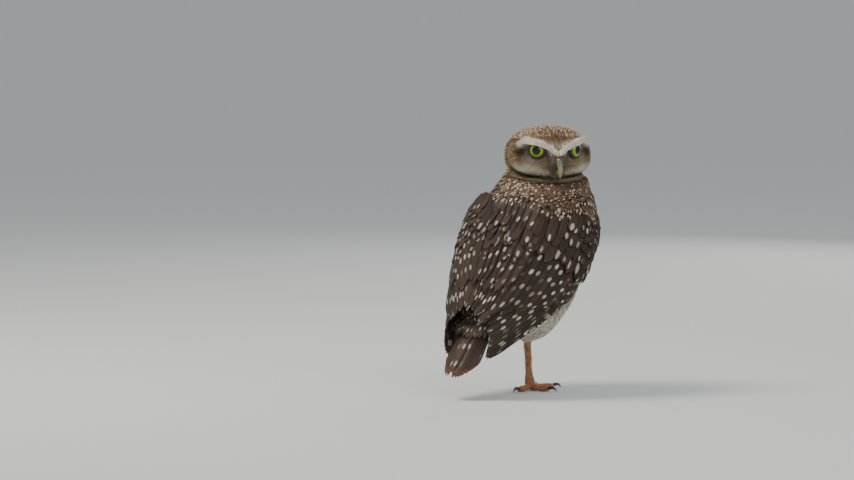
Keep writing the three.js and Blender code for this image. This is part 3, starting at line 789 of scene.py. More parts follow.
def on_map(p):
    """Where a root lies on the flat map of the skin: one field round the body, one round the head."""
    local = head_local(p)
    q = p + FOOT
    round_body = np.arctan2(q[:, 1] + 4, q[:, 0]) / (2 * math.pi) + 0.5
    up_body = np.clip(q[:, 2] / 200, 0, 1)
    body = np.stack([0.02 + 0.58 * round_body, 0.02 + 0.96 * up_body], -1)
    round_head = np.arctan2(local[:, 1], local[:, 0]) / (2 * math.pi) + 0.5
    up_head = np.clip(local[:, 2] / 60 + 0.5, 0, 1)
    head = np.stack([0.64 + 0.34 * round_head, 0.54 + 0.43 * up_head], -1)
    on_head = np.linalg.norm(local / (40, 36, 28), axis=-1) < 1.1
    return np.where(on_head[:, None], head, body)


def wing_cover(p):
    """True where a wing or the tail's coverts lie over the body, and small feathers aren't needed."""
    q = p + FOOT
    s, z = -q[:, 1] - WING_TOP[0], q[:, 2] - WING_TOP[1]
    along = -s * math.sin(WING_SLOPE) - z * math.cos(WING_SLOPE)
    forward = s * math.cos(WING_SLOPE) - z * math.sin(WING_SLOPE)
    inside = (forward > wing_back(along) + 9) & (forward < wing_front(along) - 15)
    inside &= np.maximum(collar_height(q), collar_height(q * (-1, 1, 1))) < -25
    start = mix(34, 18, smooth(10, 34, np.abs(q[:, 0])))
    tail_base = (along > 78) & (along < 160) & (forward < 14) & (np.abs(q[:, 0]) < 34)
    return (inside & (np.abs(q[:, 0]) > 10) & (along > start) & (along < 150)) | tail_base


HEAD_HALF = (41, 36, 28.5)


def is_head(p):
    return np.linalg.norm(head_local(p) / HEAD_HALF, axis=-1) < 1.04


def face_share(local):
    """1 over the face, 0 over the rest of the head."""
    return smooth(3, -8, local[..., 1]) * smooth(17, 13, local[..., 2]) * smooth(-28, -24, local[..., 2])


def flow(p):
    """The lie of the coat: back from the bill and out from the eyes, and down the body."""
    local = head_local(p)
    mirror = np.where(local[..., :1] < 0, (-1.0, 1.0, 1.0), (1.0, 1.0, 1.0))
    from_bill = unit(local - np.array([0.0, -31.0, 5.0]))
    from_eye = local - EYE_FRONT * mirror
    away = np.linalg.norm(from_eye, axis=-1, keepdims=True)
    near_eye = np.exp(-((np.maximum(away - 8, 0) / 7) ** 2))
    head = head_turned(unit(mix(from_bill, unit(from_eye), near_eye)))
    q = p + FOOT
    rearward = smooth(-40, 20, q[..., 1])
    down = np.stack([q[..., 0] * 0.002, 0.1 + 0.5 * rearward, -np.ones(q.shape[:-1])], -1)
    share = smooth(1.16, 1.0, np.linalg.norm(local / HEAD_HALF, axis=-1))
    return unit(mix(unit(down), head, share[..., None]))


# depth sets how strongly painted shade darkens each feather's root.
def feather_finish(name, barbs, pale, depth=0.55, sheen=0.12):
    """Small feathers' finish: tinted by place, with a pale spot, bars, a dark shaft and fine barbs."""
    material, surface, ink = finish(name, 0.82)
    surface.inputs["Specular IOR Level"].default_value = sheen
    tint = ink.node("ShaderNodeAttribute", {"attribute_name": "tint"}, output="Color")
    vane = ink.node("ShaderNodeAttribute", {"attribute_name": "vane"}, output="Vector")
    mark = ink.node("ShaderNodeAttribute", {"attribute_name": "mark"}, output="Vector")
    u, v, seed = (ink.node("ShaderNodeSeparateXYZ", None, {"Vector": vane}, output=k) for k in "XYZ")
    strength, place, size = (
        ink.node("ShaderNodeSeparateXYZ", None, {"Vector": mark}, output=k) for k in "XYZ"
    )

    def shade(red, green, blue):
        return tint.blend(1.0, (red, green, blue, 1), "MULTIPLY")

    width = v.math("ABSOLUTE")
    fine = {"X": (u - width * 0.35) * barbs, "Y": v * 1.5, "Z": seed * 90}
    grain = ink.node("ShaderNodeCombineXYZ", None, fine)
    strands = ink.node("ShaderNodeTexNoise", None, {"Vector": grain, "Scale": 1.0, "Detail": 3.0})
    broad = ink.node("ShaderNodeCombineXYZ", None, {"X": u * 2.2, "Y": v * 1.2, "Z": seed * 70})
    clouds = ink.node("ShaderNodeTexNoise", None, {"Vector": broad, "Scale": 1.0, "Detail": 2.0})
    base = tint.blend(strands.step(0.35, 0.65) * 0.35, shade(0.45, 0.42, 0.4))
    base = base.blend(clouds.step(0.45, 0.75) * 0.3, shade(1.5, 1.42, 1.35))
    # Painted shade: each feather darker towards its root, where it lies under the feather above.
    base = base.blend(u.step(0.55, 0.0) * depth, shade(0.5, 0.48, 0.46))
    base = base.blend(width.step(0.12, 0.04) * 0.45, shade(0.5, 0.46, 0.42))
    reach = ((u - place) * 2.0).math("POWER", 2.0) + v.math("POWER", 2.0)
    reach = reach + (clouds - 0.5) * 0.3 + (strands - 0.5) * 0.12
    spot = reach.math("MAXIMUM", 0.0).math("SQRT").math("DIVIDE", size).step(1.2, 0.7)
    base = base.blend(spot * strength.math("MAXIMUM", 0.0), pale)
    rows = (u * 2.6 + seed + (clouds - 0.5) * 0.5).math("FRACT")
    bars = rows.step(0.5, 0.62) * rows.step(0.98, 0.86)
    base = base.blend(bars * (0.0 - strength).math("MAXIMUM", 0.0), (0.19, 0.125, 0.075, 1))
    connect(base, surface, "Base Color")
    bumped(strands, surface, 0.5, 0.0004)
    return material


body_feather = feather_finish("feather_body", 60.0, (0.66, 0.56, 0.43, 1))
crown_feather = feather_finish("feather_crown", 40.0, (0.60, 0.47, 0.32, 1))
face_bristle = feather_finish("feather_face", 14.0, (0.6, 0.5, 0.4, 1), 0.3)


def coat(name, wanted, spacing, size, seed, tries, paint, face=False, mark=None, flecked=0.06):
    """A patch of plumage on the skin; size gives each feather's length and half width at a place."""
    places, normals = scattered(spacing, wanted, seed, tries)
    draw = np.random.default_rng(seed + 1)
    length, half = size(places)
    length = length * draw.uniform(0.85, 1.15, len(places))
    half = half * draw.uniform(0.85, 1.1, len(places))
    yaw = draw.normal(0, 0.16, len(places))[:, None]

    def drawn(p):
        way = flow(p)
        return way + np.cross(normals, way) * yaw

    stations = np.array([0, 0.35, 0.68, 1.0]) if face else np.array([0, 0.3, 0.6, 0.85, 1.0])
    shares = np.array([0.6, 1.0, 0.8, 0.12]) if face else np.array([0.4, 0.9, 1.0, 0.72, 0.15])
    centres, ups = laid(places, normals, drawn, length, stations)
    depth = np.where(face_share(head_local(places)) > 0.5, 1.0, 2.2)
    rise = depth[:, None] * (-0.25 + 1.2 * stations[None, :] ** 0.8) + draw.uniform(0, 0.4, (len(places), 1))
    centres = centres + ups * rise[..., None]
    tint = place_colour(places + unit(flow(places)) * length[:, None] * 0.6)
    tint = tint * draw.uniform(0.82, 1.16, (len(places), 1))
    tint = np.where(draw.random((len(places), 1)) < flecked, tint * 0.42, tint)
    marks = mark(places, draw) if mark else PLAIN_MARK
    made = vanes(
        name, centres, ups, half[:, None] * shares[None, :], 0.08 if face else 0.12, 0.25,
        3 if face else 5, 0.5, tint, on_map(places), marks,
    )
    made.data.materials.append(paint)
    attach(made, "root")


def eye_gap(p):
    """How far out from the eye's middle a place is, less above the eye, where the lid is feathered."""
    local = head_local(p)
    local[:, 0] = np.abs(local[:, 0])
    over = local[:, 2] - EYE_FRONT[2] - 5.2 - 0.32 * (local[:, 0] - EYE_FRONT[0])
    return np.linalg.norm(local - EYE_FRONT, axis=1) + 4 * smooth(0, 1.5, over)


def bill_gap(p):
    """True where the bill comes out of the face."""
    local = head_local(p)
    beside = (np.abs(local[:, 0]) < 3.0) & (local[:, 1] < -24)
    return beside & (local[:, 2] < -1) & (local[:, 2] > -16)


def crown_mark(p, draw):
    """Each crown feather's spot: how strong, how far along, and how wide."""
    local = head_local(p)
    ahead = smooth(4, -10, local[:, 1])
    strength = (draw.random(len(p)) < mix(0.5, 0.62, ahead)) * 0.95
    return np.stack([strength, np.full(len(p), 0.74), draw.uniform(0.4, 0.66, len(p))], -1)


def body_mark(p, draw):
    """Each body feather's spot, or its bars where the strength is below 0."""
    q = p + FOOT
    turned = np.arctan2(q[:, 1] + 4, np.abs(q[:, 0]))
    above = smooth(-0.35, 0.1, turned)
    breast = smooth(126, 156, q[:, 2] + 9 * blotches(p, 12, 6))
    spotted = (draw.random(len(p)) < mix(0.3, 0.45, above)) * draw.uniform(0.4, 0.95, len(p))
    spotted = spotted * np.maximum(above, breast)
    barred = -0.95 * (1 - above) * (1 - breast) * smooth(78, 100, q[:, 2])
    strength = np.where(spotted > 0.25, spotted, barred)
    return np.stack([strength, np.full(len(p), 0.76), draw.uniform(0.42, 0.6, len(p))], -1)


def face_spacing(p):
    return mix(0.42, 0.6, smooth(8, 22, eye_gap(p)))


def face_size(p):
    gap = eye_gap(p)
    return mix(3.2, 6.6, smooth(8, 20, gap)), mix(0.18, 0.3, smooth(8, 22, gap))


def crown_spacing(p):
    return mix(1.05, 1.6, smooth(-14, 14, head_local(p)[:, 1]))


def crown_size(p):
    back = smooth(-18, 16, head_local(p)[:, 1])
    return mix(4.2, 8.0, back), mix(0.85, 1.6, back)


for name, side in (("plumage_face_left", 1), ("plumage_face_right", -1)):
    coat(
        name,
        lambda p, n, side=side: is_head(p)
        & (side * head_local(p)[:, 0] >= 0)
        & (face_share(head_local(p)) > 0.25)
        & (eye_gap(p) > 7.2)
        & ~bill_gap(p),
        face_spacing, face_size, 11 + side, 90000, face_bristle, face=True,
    )
for name, ahead in (("plumage_crown_front", True), ("plumage_crown_back", False)):
    coat(
        name,
        lambda p, n, ahead=ahead: is_head(p)
        & ((head_local(p)[:, 1] < 2) == ahead)
        & (face_share(head_local(p)) <= 0.35)
        & (head_local(p)[:, 2] > -17),
        crown_spacing, crown_size, 12 + ahead, 60000, crown_feather, mark=crown_mark,
        flecked=0.22 if ahead else 0.1,
    )


def smooth_line(path):
    """A curve through a path's points, as a function from 0 to 1."""
    path = np.asarray(path, float)
    at = np.linspace(0, 1, len(path))
    axes = [profile(list(zip(at, path[:, k], strict=True))) for k in range(3)]
    return lambda u: np.stack([axis(u) for axis in axes], -1)


def brow_plumes():
    """Long white brow feathers that spring from beside the bill and sweep up and out over each eye."""
    draw = np.random.default_rng(41)
    line = smooth_line(BROW)
    steps = np.linspace(0, 1, 6)
    middle = head_place(np.array([0.0, 2.0, 0.0]))
    centres, ups, tints, half = [], [], [], []
    for _ in range(2600):
        side = draw.choice((-1, 1))
        start = 0.8 * draw.random() ** 1.1
        reach = draw.uniform(0.12, 0.2)
        drop = np.clip(draw.normal(0.1, 0.9), -1.7, 2.6)
        share = start + reach * steps
        fan = drop * mix(0.8, 1.3, share) + draw.normal(0, 0.7) * steps
        path = line(np.clip(share, 0, 1)) + np.array([0, 0.3, 1.0]) * fan[:, None]
        placed, lifted = [], []
        for step, spot in zip(steps, head_place(path * (side, 1, 1)), strict=True):
            out = unit(spot - middle)
            place = np.array(skin_tree.find_nearest(Vector(spot))[0])
            short = max(0.0, float((place - spot) @ out))
            rise = short + 0.2 + 1.3 * step**0.8 + draw.uniform(0, 0.5)
            placed.append(spot + out * rise)
            lifted.append(out)
        centres.append(placed)
        ups.append(lifted)
        half.append(draw.uniform(0.22, 0.4))
        worn = 0.55 if draw.random() < 0.08 else draw.uniform(0.86, 1.06)
        tints.append(np.array([0.95, 0.84, 0.69]) * worn)
    centres, ups = np.array(centres), np.array(ups)
    widths = np.array(half)[:, None] * np.array([0.5, 0.9, 1.0, 0.85, 0.55, 0.2])
    return vanes(
        "plumage_brow", centres, ups, widths, 0.1, 0.2, 3, 0.4, np.array(tints), on_map(centres[:, 0])
    )


brow = brow_plumes()
brow.data.materials.append(face_bristle)
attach(brow, "root")


def bill_bristles():
    """Fine stiff bristles from the lores, swept forward and down over the bill's base and sides."""
    draw = np.random.default_rng(43)
    centres, ups, tints = [], [], []
    for _ in range(1100):
        side = draw.choice((-1, 1))
        up = draw.random()
        root = np.array([draw.uniform(2.6, 7.5), -29.5, mix(-11, 2.5, up)])
        length = draw.uniform(4.5, 7.0)
        inward, downward = draw.normal(-0.16, 0.12), mix(-0.75, -0.35, up) + draw.normal(0, 0.12)
        way = unit(np.array([inward, -0.62, downward]))
        place = skin_tree.find_nearest(Vector(head_place(root * (side, 1, 1))))[0]
        start = head_local(np.array(place))
        u = np.linspace(0, 1, 5)[:, None]
        path = start + way * (side, 1, 1) * length * u + np.array([0, 0.5, -0.8]) * length * 0.4 * u**2
        in_bill = np.abs(path[:, 0]) < 2.3
        path[in_bill, 0] = np.sign(start[0]) * 2.3
        centres.append(head_place(path))
        ups.append(head_turned(unit(np.array([side * 0.8, -0.6, 0.1])[None]) * np.ones((5, 1))))
        pale = draw.random() < 0.68
        tint = np.array((0.38, 0.32, 0.22) if pale else (0.05, 0.04, 0.03))
        tints.append(tint * draw.uniform(0.7, 1.2))
    centres, ups = np.array(centres), np.array(ups)
    widths = draw.uniform(0.13, 0.24, (len(centres), 1)) * np.array([0.9, 1.0, 0.8, 0.5, 0.15])
    return vanes(
        "plumage_bristles", centres, ups, widths, 0.1, 0.1, 3, 0.0, np.array(tints), on_map(centres[:, 0])
    )


bristles = bill_bristles()
bristles.data.materials.append(face_bristle)
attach(bristles, "root")


def torso_wanted(low, high, ahead):
    """A test for places on the body's front or back, between two heights."""

    def wanted(p, n):
        q = p + FOOT
        in_front = q[:, 1] < -4 + 0.12 * np.abs(q[:, 0])
        return ~is_head(p) & ~wing_cover(p) & (in_front == ahead) & (q[:, 2] >= low) & (q[:, 2] < high)

    return wanted


for name, low, high, ahead, apart, length, half in (
    ("plumage_nape", 150, 240, False, 2.1, 10.5, 2.6),
    ("plumage_back", 20, 150, False, 2.4, 12.5, 2.6),
    ("plumage_throat", 150, 240, True, 1.7, 8.5, 1.8),
    ("plumage_breast", 96, 150, True, 1.9, 10.5, 2.1),
    ("plumage_belly", 30, 96, True, 1.8, 13.5, 1.3),
):
    coat(
        name,
        torso_wanted(low, high, ahead),
        lambda p, apart=apart: np.full(len(p), apart),
        lambda p, length=length, half=half: (np.full(len(p), length), np.full(len(p), half)),
        20 + low + ahead, 60000, body_feather, mark=body_mark,
    )


def fluff_wanted(p, n):
    q = p + FOOT
    return ~is_head(p) & (q[:, 2] > 38) & (q[:, 2] < 66) & (q[:, 1] < 34)


coat(
    "plumage_fluff",
    fluff_wanted,
    lambda p: np.full(len(p), 1.15),
    lambda p: (np.full(len(p), 10.0), np.full(len(p), 0.5)),
    77, 60000, face_bristle, face=True,
)

# Wings
# Each folded wing carries its feathers in tiers, like tiles: small coverts and shoulder feathers over
# the arm, the secondaries and tertials under them, meeting along the back, and the long primaries to the
# tip. All are stiff dark brown vanes with rows of pale spots.
vane_width = profile([(0, 0.5), (0.12, 0.8), (0.35, 0.97), (0.7, 1.0), (0.86, 0.9), (0.94, 0.68), (1, 0.12)])


def wing_vanes(name, side, tier, rows, chords, finish_used, patch):
    """Feathers on the wing's guide surface, from root and tip places, as one mesh."""
    stations = np.concatenate([np.linspace(0, 0.78, rows - 4), [0.86, 0.92, 0.965, 1.0]])
    t = np.linspace(-1, 1, chords)
    roots, tips, half, lifts, tilt, tint, mark = (
        np.array([f[key] for f in tier], float)
        for key in ("root", "tip", "half", "lifts", "tilt", "tint", "mark")
    )
    u = stations[None, :]
    along = mix(roots[:, :1], tips[:, :1], u)
    across = mix(roots[:, 1:], tips[:, 1:], u)
    lift = mix(lifts[:, :1], lifts[:, 1:], u)
    width = half[:, None] * vane_width(stations)[None, :]
    here = np.clip(across, 0.02, 0.98)
    girth = np.linalg.norm(wing_guide(along, here + 0.01) - wing_guide(along, here - 0.01), axis=-1) / 0.02
    draw = np.random.default_rng(len(tier) + rows)
    count = len(tier)
    a = along[..., None] - (t**2)[None, None, :] * width[..., None] * 0.35
    notch = draw.uniform(-1, 0.15, (count, 1, chords)) * smooth(0.8, 1, stations)[None, :, None]
    a = a + notch * half[:, None, None] * 0.34
    q = np.clip(across[..., None] + t[None, None, :] * (width / girth)[..., None], 0.0, 1.07)
    rise = lift[..., None] + t[None, None, :] * tilt[:, None, None] * vane_width(stations)[None, :, None]
    crown = 0.2 * (1 - t**2)[None, None, :]
    top = wing_point(a, q, rise + crown)
    under = wing_point(along, np.clip(across, 0.0, 1.07), lift - 0.2)[:, :, None, :]
    points = np.concatenate([top, under], 2)
    if side > 0:
        points = points * (-1, 1, 1)
    points = points - FOOT
    vane = vane_places(stations, chords, draw.random(count))
    tints = np.broadcast_to(tint[:, None, None, :], points.shape).reshape(-1, 3)
    marks = np.broadcast_to(mark[:, None, None, :], points.shape).reshape(-1, 3)
    field = 0.03 if side > 0 else 0.28
    home = np.stack([0.64 + 0.34 * roots[:, 0] / 200, field + 0.2 * roots[:, 1]], -1)
    bake = home[:, None, None, :] + (vane[..., :2] - (0.5, 0)) * (1, 0.5) * np.asarray(patch)
    made = piece_of(
        name, points.reshape(-1, 3), vane_faces(count, rows, chords, side < 0), vane.reshape(-1, 3), tints,
        marks, bake.reshape(-1, 2),
    )
    made.data.materials.append(finish_used)
    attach(made, "root")
    return made


def flight_finish(name, bloom, spots_along, spots_across):
    """Long feathers' finish: dark, with pale spots in pairs down both webs, fine barbs and a shaft."""
    material, surface, ink = finish(name, 0.7)
    surface.inputs["Specular IOR Level"].default_value = 0.2
    vane = ink.node("ShaderNodeAttribute", {"attribute_name": "vane"}, output="Vector")
    tint = ink.node("ShaderNodeAttribute", {"attribute_name": "tint"}, output="Color")
    mark = ink.node("ShaderNodeAttribute", {"attribute_name": "mark"}, output="Vector")
    u, v, seed = (ink.node("ShaderNodeSeparateXYZ", None, {"Vector": vane}, output=k) for k in "XYZ")
    strength = ink.node("ShaderNodeSeparateXYZ", None, {"Vector": mark}, output="X")
    width = v.math("ABSOLUTE")
    fine = {"X": (u - width * 0.08) * 160, "Y": v * 1.2, "Z": seed * 50}
    grain = ink.node("ShaderNodeCombineXYZ", None, fine)
    strands = ink.node("ShaderNodeTexNoise", None, {"Vector": grain, "Scale": 1.0, "Detail": 3.0})
    broad = ink.node("ShaderNodeCombineXYZ", None, {"X": u * 7, "Y": v * 1.4, "Z": seed * 30})
    clouds = ink.node("ShaderNodeTexNoise", None, {"Vector": broad, "Scale": 1.0, "Detail": 2.0})
    base = tint.blend(strands.step(0.35, 0.65) * 0.4, tint.blend(1.0, (0.5, 0.47, 0.45, 1), "MULTIPLY"))
    base = base.blend(clouds.step(0.5, 0.75) * 0.35, tint.blend(1.0, bloom, "MULTIPLY"))
    rows = (u * spots_along + seed * 0.6).math("FRACT")
    beside = (width - spots_across) * 4.2
    along = (rows - 0.5) * 5.4
    spot = (beside.math("POWER", 2.0) + along.math("POWER", 2.0) + (clouds - 0.5) * 1.6).step(1.15, 0.5)
    slow = {"X": u * spots_along * 0.6, "Y": v * 0.7, "Z": seed * 110}
    wear = ink.node("ShaderNodeCombineXYZ", None, slow)
    wear = ink.node("ShaderNodeTexNoise", None, {"Vector": wear, "Scale": 1.0, "Detail": 1.0})
    base = base.blend(spot * strength * (0.12 + wear.step(0.36, 0.62) * 0.8), (0.60, 0.53, 0.44, 1))
    base = base.blend(width.step(0.07, 0.03) * 0.6, (0.05, 0.035, 0.025, 1))
    base = base.blend(width.step(0.93, 1.0) * 0.35, (0.3, 0.22, 0.15, 1))
    connect(base, surface, "Base Color")
    bumped(strands, surface, 0.5, 0.0005)
    return material


flight_feather = flight_finish("feather_flight", (1.7, 1.5, 1.35, 1), 6.0, 0.62)
wing_covert = feather_finish("feather_covert", 70.0, (0.60, 0.54, 0.46, 1), 0.5, 0.18)
WING_BROWN = np.array([0.047, 0.033, 0.025])


def brown(lighter=0.0):
    """One feather's ground colour."""
    return mix(WING_BROWN, np.array([0.13, 0.08, 0.05]), lighter) * random.uniform(0.75, 1.25)


def feather(root, tip, half, lifts, tilt, tint, mark):
    """One wing feather: places of its root and tip along and across the wing, and the lift of each."""
    return {
        "root": root, "tip": tip, "half": half, "lifts": lifts, "tilt": tilt, "tint": tint, "mark": mark
    }


def rooted(root, side, clear):
    """True where a covert's root lies clear below the collar's edge and close to the skin."""
    spot = wing_guide(root[0], root[1]) * (-side, 1, 1)
    apart = skin_tree.find_nearest(Vector(spot - FOOT))[3]
    return float(collar_height(spot)) < -clear and apart < 4.5


# Rows of coverts: along of the root, length, half width, how many, tip lift, chance of a spot.
COVERT_ROWS = (
    (13, 13, 3.0, 21, 2.8, 0.4),
    (18, 13, 3.0, 23, 3.2, 0.42),
    (23, 14, 3.1, 24, 3.5, 0.45),
    (28, 15, 3.2, 25, 3.8, 0.45),
    (33, 16, 3.3, 25, 4.0, 0.45),
    (38, 17, 3.5, 24, 4.2, 0.5),
    (43, 20, 3.8, 23, 4.2, 0.5),
    (49, 24, 4.2, 21, 4.1, 0.55),
    (56, 29, 4.8, 18, 3.9, 0.6),
)
# Rows of shoulder feathers: along of the root, and how many.
SHOULDER_ROWS = ((14, 8), (20, 9), (26, 9), (33, 9), (40, 9), (47, 8), (55, 8), (63, 7), (72, 6), (81, 5))
for side, label in ((1, "left"), (-1, "right")):
    long_tier = []
    # Primaries, secondaries, then two rows of tertials.
    for i in range(10):
        u = i / 9
        tip = (mix(183, 156, u**1.3) - 7 * (1 - u) ** 6, mix(0.8, 0.3, u))
        root = (84, mix(0.8, 0.45, u))
        long_tier.append(feather(root, tip, 6.0, (-1.8, 1.2 + 0.25 * u), 1.1, brown(), (0.9, 0, 0)))
    for i in range(11):
        u = i / 10
        tip = (mix(108, 150, u) + random.uniform(-4, 4), mix(0.81, 0.26, u))
        root = (58, mix(0.78, 0.34, u))
        long_tier.append(feather(root, tip, 6.6, (-0.6, 3.2), 1.15, brown(0.1), (0.9, 0, 0)))
    for i in range(9):
        u = i / 8
        tip = (mix(155, 145, u) + random.uniform(-6, 3), mix(0.24, 0.012, u**0.8))
        root = (62, mix(0.34, 0.02, u**0.8))
        long_tier.append(feather(root, tip, 6.2, (0.4, mix(2.6, 3.4, u)), 0.9, brown(0.1), (0.95, 0, 0)))
    for i in range(7):
        u = i / 6
        tip = (mix(130, 120, u) + random.uniform(-9, 7), mix(0.26, 0.012, u**0.8))
        root = (46, mix(0.3, 0.02, u**0.8))
        long_tier.append(feather(root, tip, 6.4, (1.0, mix(4.2, 4.8, u)), 0.9, brown(0.2), (0.95, 0, 0)))
    flight = wing_vanes(f"flight_{label}", side, long_tier, 15, 7, flight_feather, (0.12, 0.02))
    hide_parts(f"wing_{label}")
    short_tier = []
    for along, length, half, count, lift, chance in COVERT_ROWS:
        outermost = 0.97 - 0.1 * smooth(30, 60, along) - 0.24 * smooth(36, 8, along)
        sunk = mix(6, 2.6, smooth(14, 42, along))
        for i in range(count):
            u = (i + random.uniform(-0.3, 0.3)) / (count - 1)
            root = (along + random.uniform(-2.5, 2.5), mix(0.04, outermost, u))
            reach = length * random.uniform(0.9, 1.12) + 6 * (0.5 - u)
            tip = (along + reach, root[1] + random.uniform(-0.018, 0.018))
            spotted = random.uniform(0.3, 0.85) if random.random() < chance else 0.0
            mark = (spotted, random.uniform(0.72, 0.84), random.uniform(0.2, 0.42))
            tip_lift = lift + random.uniform(-0.2, 0.4) - 0.9 * max(0, u - 0.85) / 0.15
            lifts = (lift - sunk, tip_lift)
            covert = feather(root, tip, half * random.uniform(0.9, 1.1), lifts, 0.45, brown(0.12), mark)
            if rooted(root, side, 13):
                short_tier.append(covert)
    wing_vanes(f"coverts_{label}", side, short_tier, 10, 7, wing_covert, PATCH)
    shoulder_tier = []
    for along, count in SHOULDER_ROWS:
        for i in range(count):
            u = (i + random.uniform(-0.3, 0.3)) / (count - 1)
            root = (along + random.uniform(-2.5, 2.5), mix(0.0, 0.3, u))
            tip = (root[0] + random.uniform(16, 22), root[1] + random.uniform(-0.01, 0.025))
            spotted = random.uniform(0.3, 0.85) if random.random() < 0.5 else 0.0
            mark = (spotted, random.uniform(0.74, 0.85), random.uniform(0.2, 0.4))
            lifts = (mix(-3, 1.2, smooth(14, 42, along)), 4.4 + random.uniform(0, 0.5))
            if rooted(root, side, 15):
                shoulder_tier.append(feather(root, tip, 4.0, lifts, 0.35, brown(0.2), mark))
    wing_vanes(f"shoulder_{label}", side, shoulder_tier, 11, 7, wing_covert, PATCH)

# Tail
# Twelve feathers lie fanned over one another, the middle pair on top: dark brown with pale bars, worn to
# rufous at their tips. Rows of coverts close their roots, up under the wings.


def tail_tier():
    """The tail's feathers and coverts: places across and along, lifts, half width, side and rust."""
    tier = []
    for i in range(6):
        u = i / 5
        for side in (1, -1):
            low = -i * 0.55 - (0 if side > 0 else 0.25) + 0.3
            reach = side * mix(2.6, 14.5, u)
            end = mix(203, 193, u**2) + (0 if side > 0 else 0.6)
            tier.append((reach * 0.5, reach, 118, end, low, low, 6.6, side, 1.0))
    # Rows of coverts: along of root and tip, lift of each, spread to each side, half width.
    rows = (
        (116, 168, 1.2, 2.0, 20, 4.6),
        (106, 155, 3.5, 4.6, 22, 4.8),
        (98, 147, 7.0, 9.0, 26, 5.2),
        (92, 141, 11.0, 13.0, 29, 5.6),
        (86, 137, 15.0, 18.5, 28, 5.8),
    )
    for start, end, low, high, spread, half in rows:
        for i in range(11):
            u = i / 5 - 1
            side = 1 if u > 0 else -1
            reach = spread * u
            drop = -1.6 * abs(u) + random.uniform(-0.2, 0.2)
            ends = end - 7 * abs(u) + random.uniform(-2, 2)
            tier.append((reach * 0.8, reach, start, ends, low + drop, high + drop, half, side, 0.0))
    return tier


def tail_vanes():
    """The tail's feathers and coverts as one mesh."""
    rows, chords = 16, 7
    stations = np.linspace(0, 1, rows)
    t = np.linspace(-1, 1, chords)
    points, tints = [], []
    for near_root, near_tip, start, end, low, high, half, side, rust in tail_tier():
        centre = mix(near_root, near_tip, stations)
        along = mix(start, end, stations)
        width = half * vane_width(stations)
        lift = mix(low, high, stations)
        across = centre[:, None] + t[None, :] * width[:, None]
        rise = lift[:, None] - t[None, :] * side * 0.75 + 0.3 * (1 - t**2)[None, :]
        ends = along[:, None] - (t**2)[None, :] * 2.4 * (stations > 0.9)[:, None]
        ends = ends + random.uniform(-0.8, 0.2, (1, chords)) * (stations > 0.96)[:, None]
        top = tail_point(ends, across, rise)
        under = tail_point(along, centre, lift - 0.3)[:, None, :]
        points.append(np.concatenate([top, under], 1))
        ground = np.array([0.075, 0.05, 0.036]) * random.uniform(0.8, 1.2)
        worn = smooth(0.9, 1.0, stations)[:, None] * 0.8 * rust
        colour = mix(ground[None], np.array([[0.26, 0.11, 0.05]]), worn)
        tints.append(np.broadcast_to(colour[:, None, :], (rows, chords + 1, 3)))
    points = np.array(points) - FOOT
    count = len(points)
    vane = vane_places(stations, chords, random.random(count))
    marks = np.broadcast_to(np.array([0.9, 0, 0]), points.shape).reshape(-1, 3)
    home = np.stack([0.76 + 0.08 * (np.arange(count) % 2), 0.483 + np.arange(count) * 0.001], -1)
    bake = home[:, None, None, :] + (vane[..., :2] - (0.5, 0)) * (0.3, 0.0012)
    return piece_of(
        "tail_feathers", points.reshape(-1, 3), vane_faces(count, rows, chords), vane.reshape(-1, 3),
        np.array(tints).reshape(-1, 3), marks, bake.reshape(-1, 2),
    )


tail = tail_vanes()
tail.data.materials.append(flight_finish("feather_tail", (1.9, 1.5, 1.2, 1), 5.0, 0.45))
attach(tail, "root")
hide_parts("tail")

# Eyes
# Each eye is a wet ball with a black pupil, a yellow-green iris and a black rim, set under a dark lid
# that the brow cuts low towards the bill.
PUPIL = 3.6
IRIS = 6.1
AROUND = 64


def eye_finish():
    material, surface, ink = finish("eye_wet", 0.06)
    surface.inputs["Coat Weight"].default_value = 0.3
    surface.inputs["Coat Roughness"].default_value = 0.03
    surface.inputs["Specular IOR Level"].default_value = 0.3
    ring = ink.node("ShaderNodeAttribute", {"attribute_name": "ring"}, output="Vector")
    reach = ink.node("ShaderNodeSeparateXYZ", None, {"Vector": ring}, output="X")
    turn = ink.node("ShaderNodeSeparateXYZ", None, {"Vector": ring}, output="Y")
    rays = ink.node("ShaderNodeCombineXYZ", None, {"X": turn * 9, "Y": reach * 0.35, "Z": 0.0})
    fibres = ink.node("ShaderNodeTexNoise", None, {"Vector": rays, "Scale": 2.0, "Detail": 3.0})
    iris = ink.node(
        "ShaderNodeValToRGB",
        {"stops": [(0.2, (0.09, 0.17, 0.003)), (0.5, (0.24, 0.38, 0.004)), (0.85, (0.42, 0.56, 0.01))]},
        {"Fac": fibres}, output="Color",
    )
    iris = iris.blend(reach.step(IRIS - 1.2, IRIS) * 0.85, (0.04, 0.09, 0.003, 1))
    iris = iris.blend(reach.step(PUPIL + 0.7, PUPIL) * 0.6, (0.05, 0.09, 0.003, 1))
    colour = iris.blend(reach.step(PUPIL + 0.15, PUPIL - 0.15), (0.003, 0.003, 0.004, 1))
    colour = colour.blend(reach.step(IRIS - 0.2, IRIS + 0.25), (0.006, 0.005, 0.005, 1))
    connect(colour, surface, "Base Color")
    return material


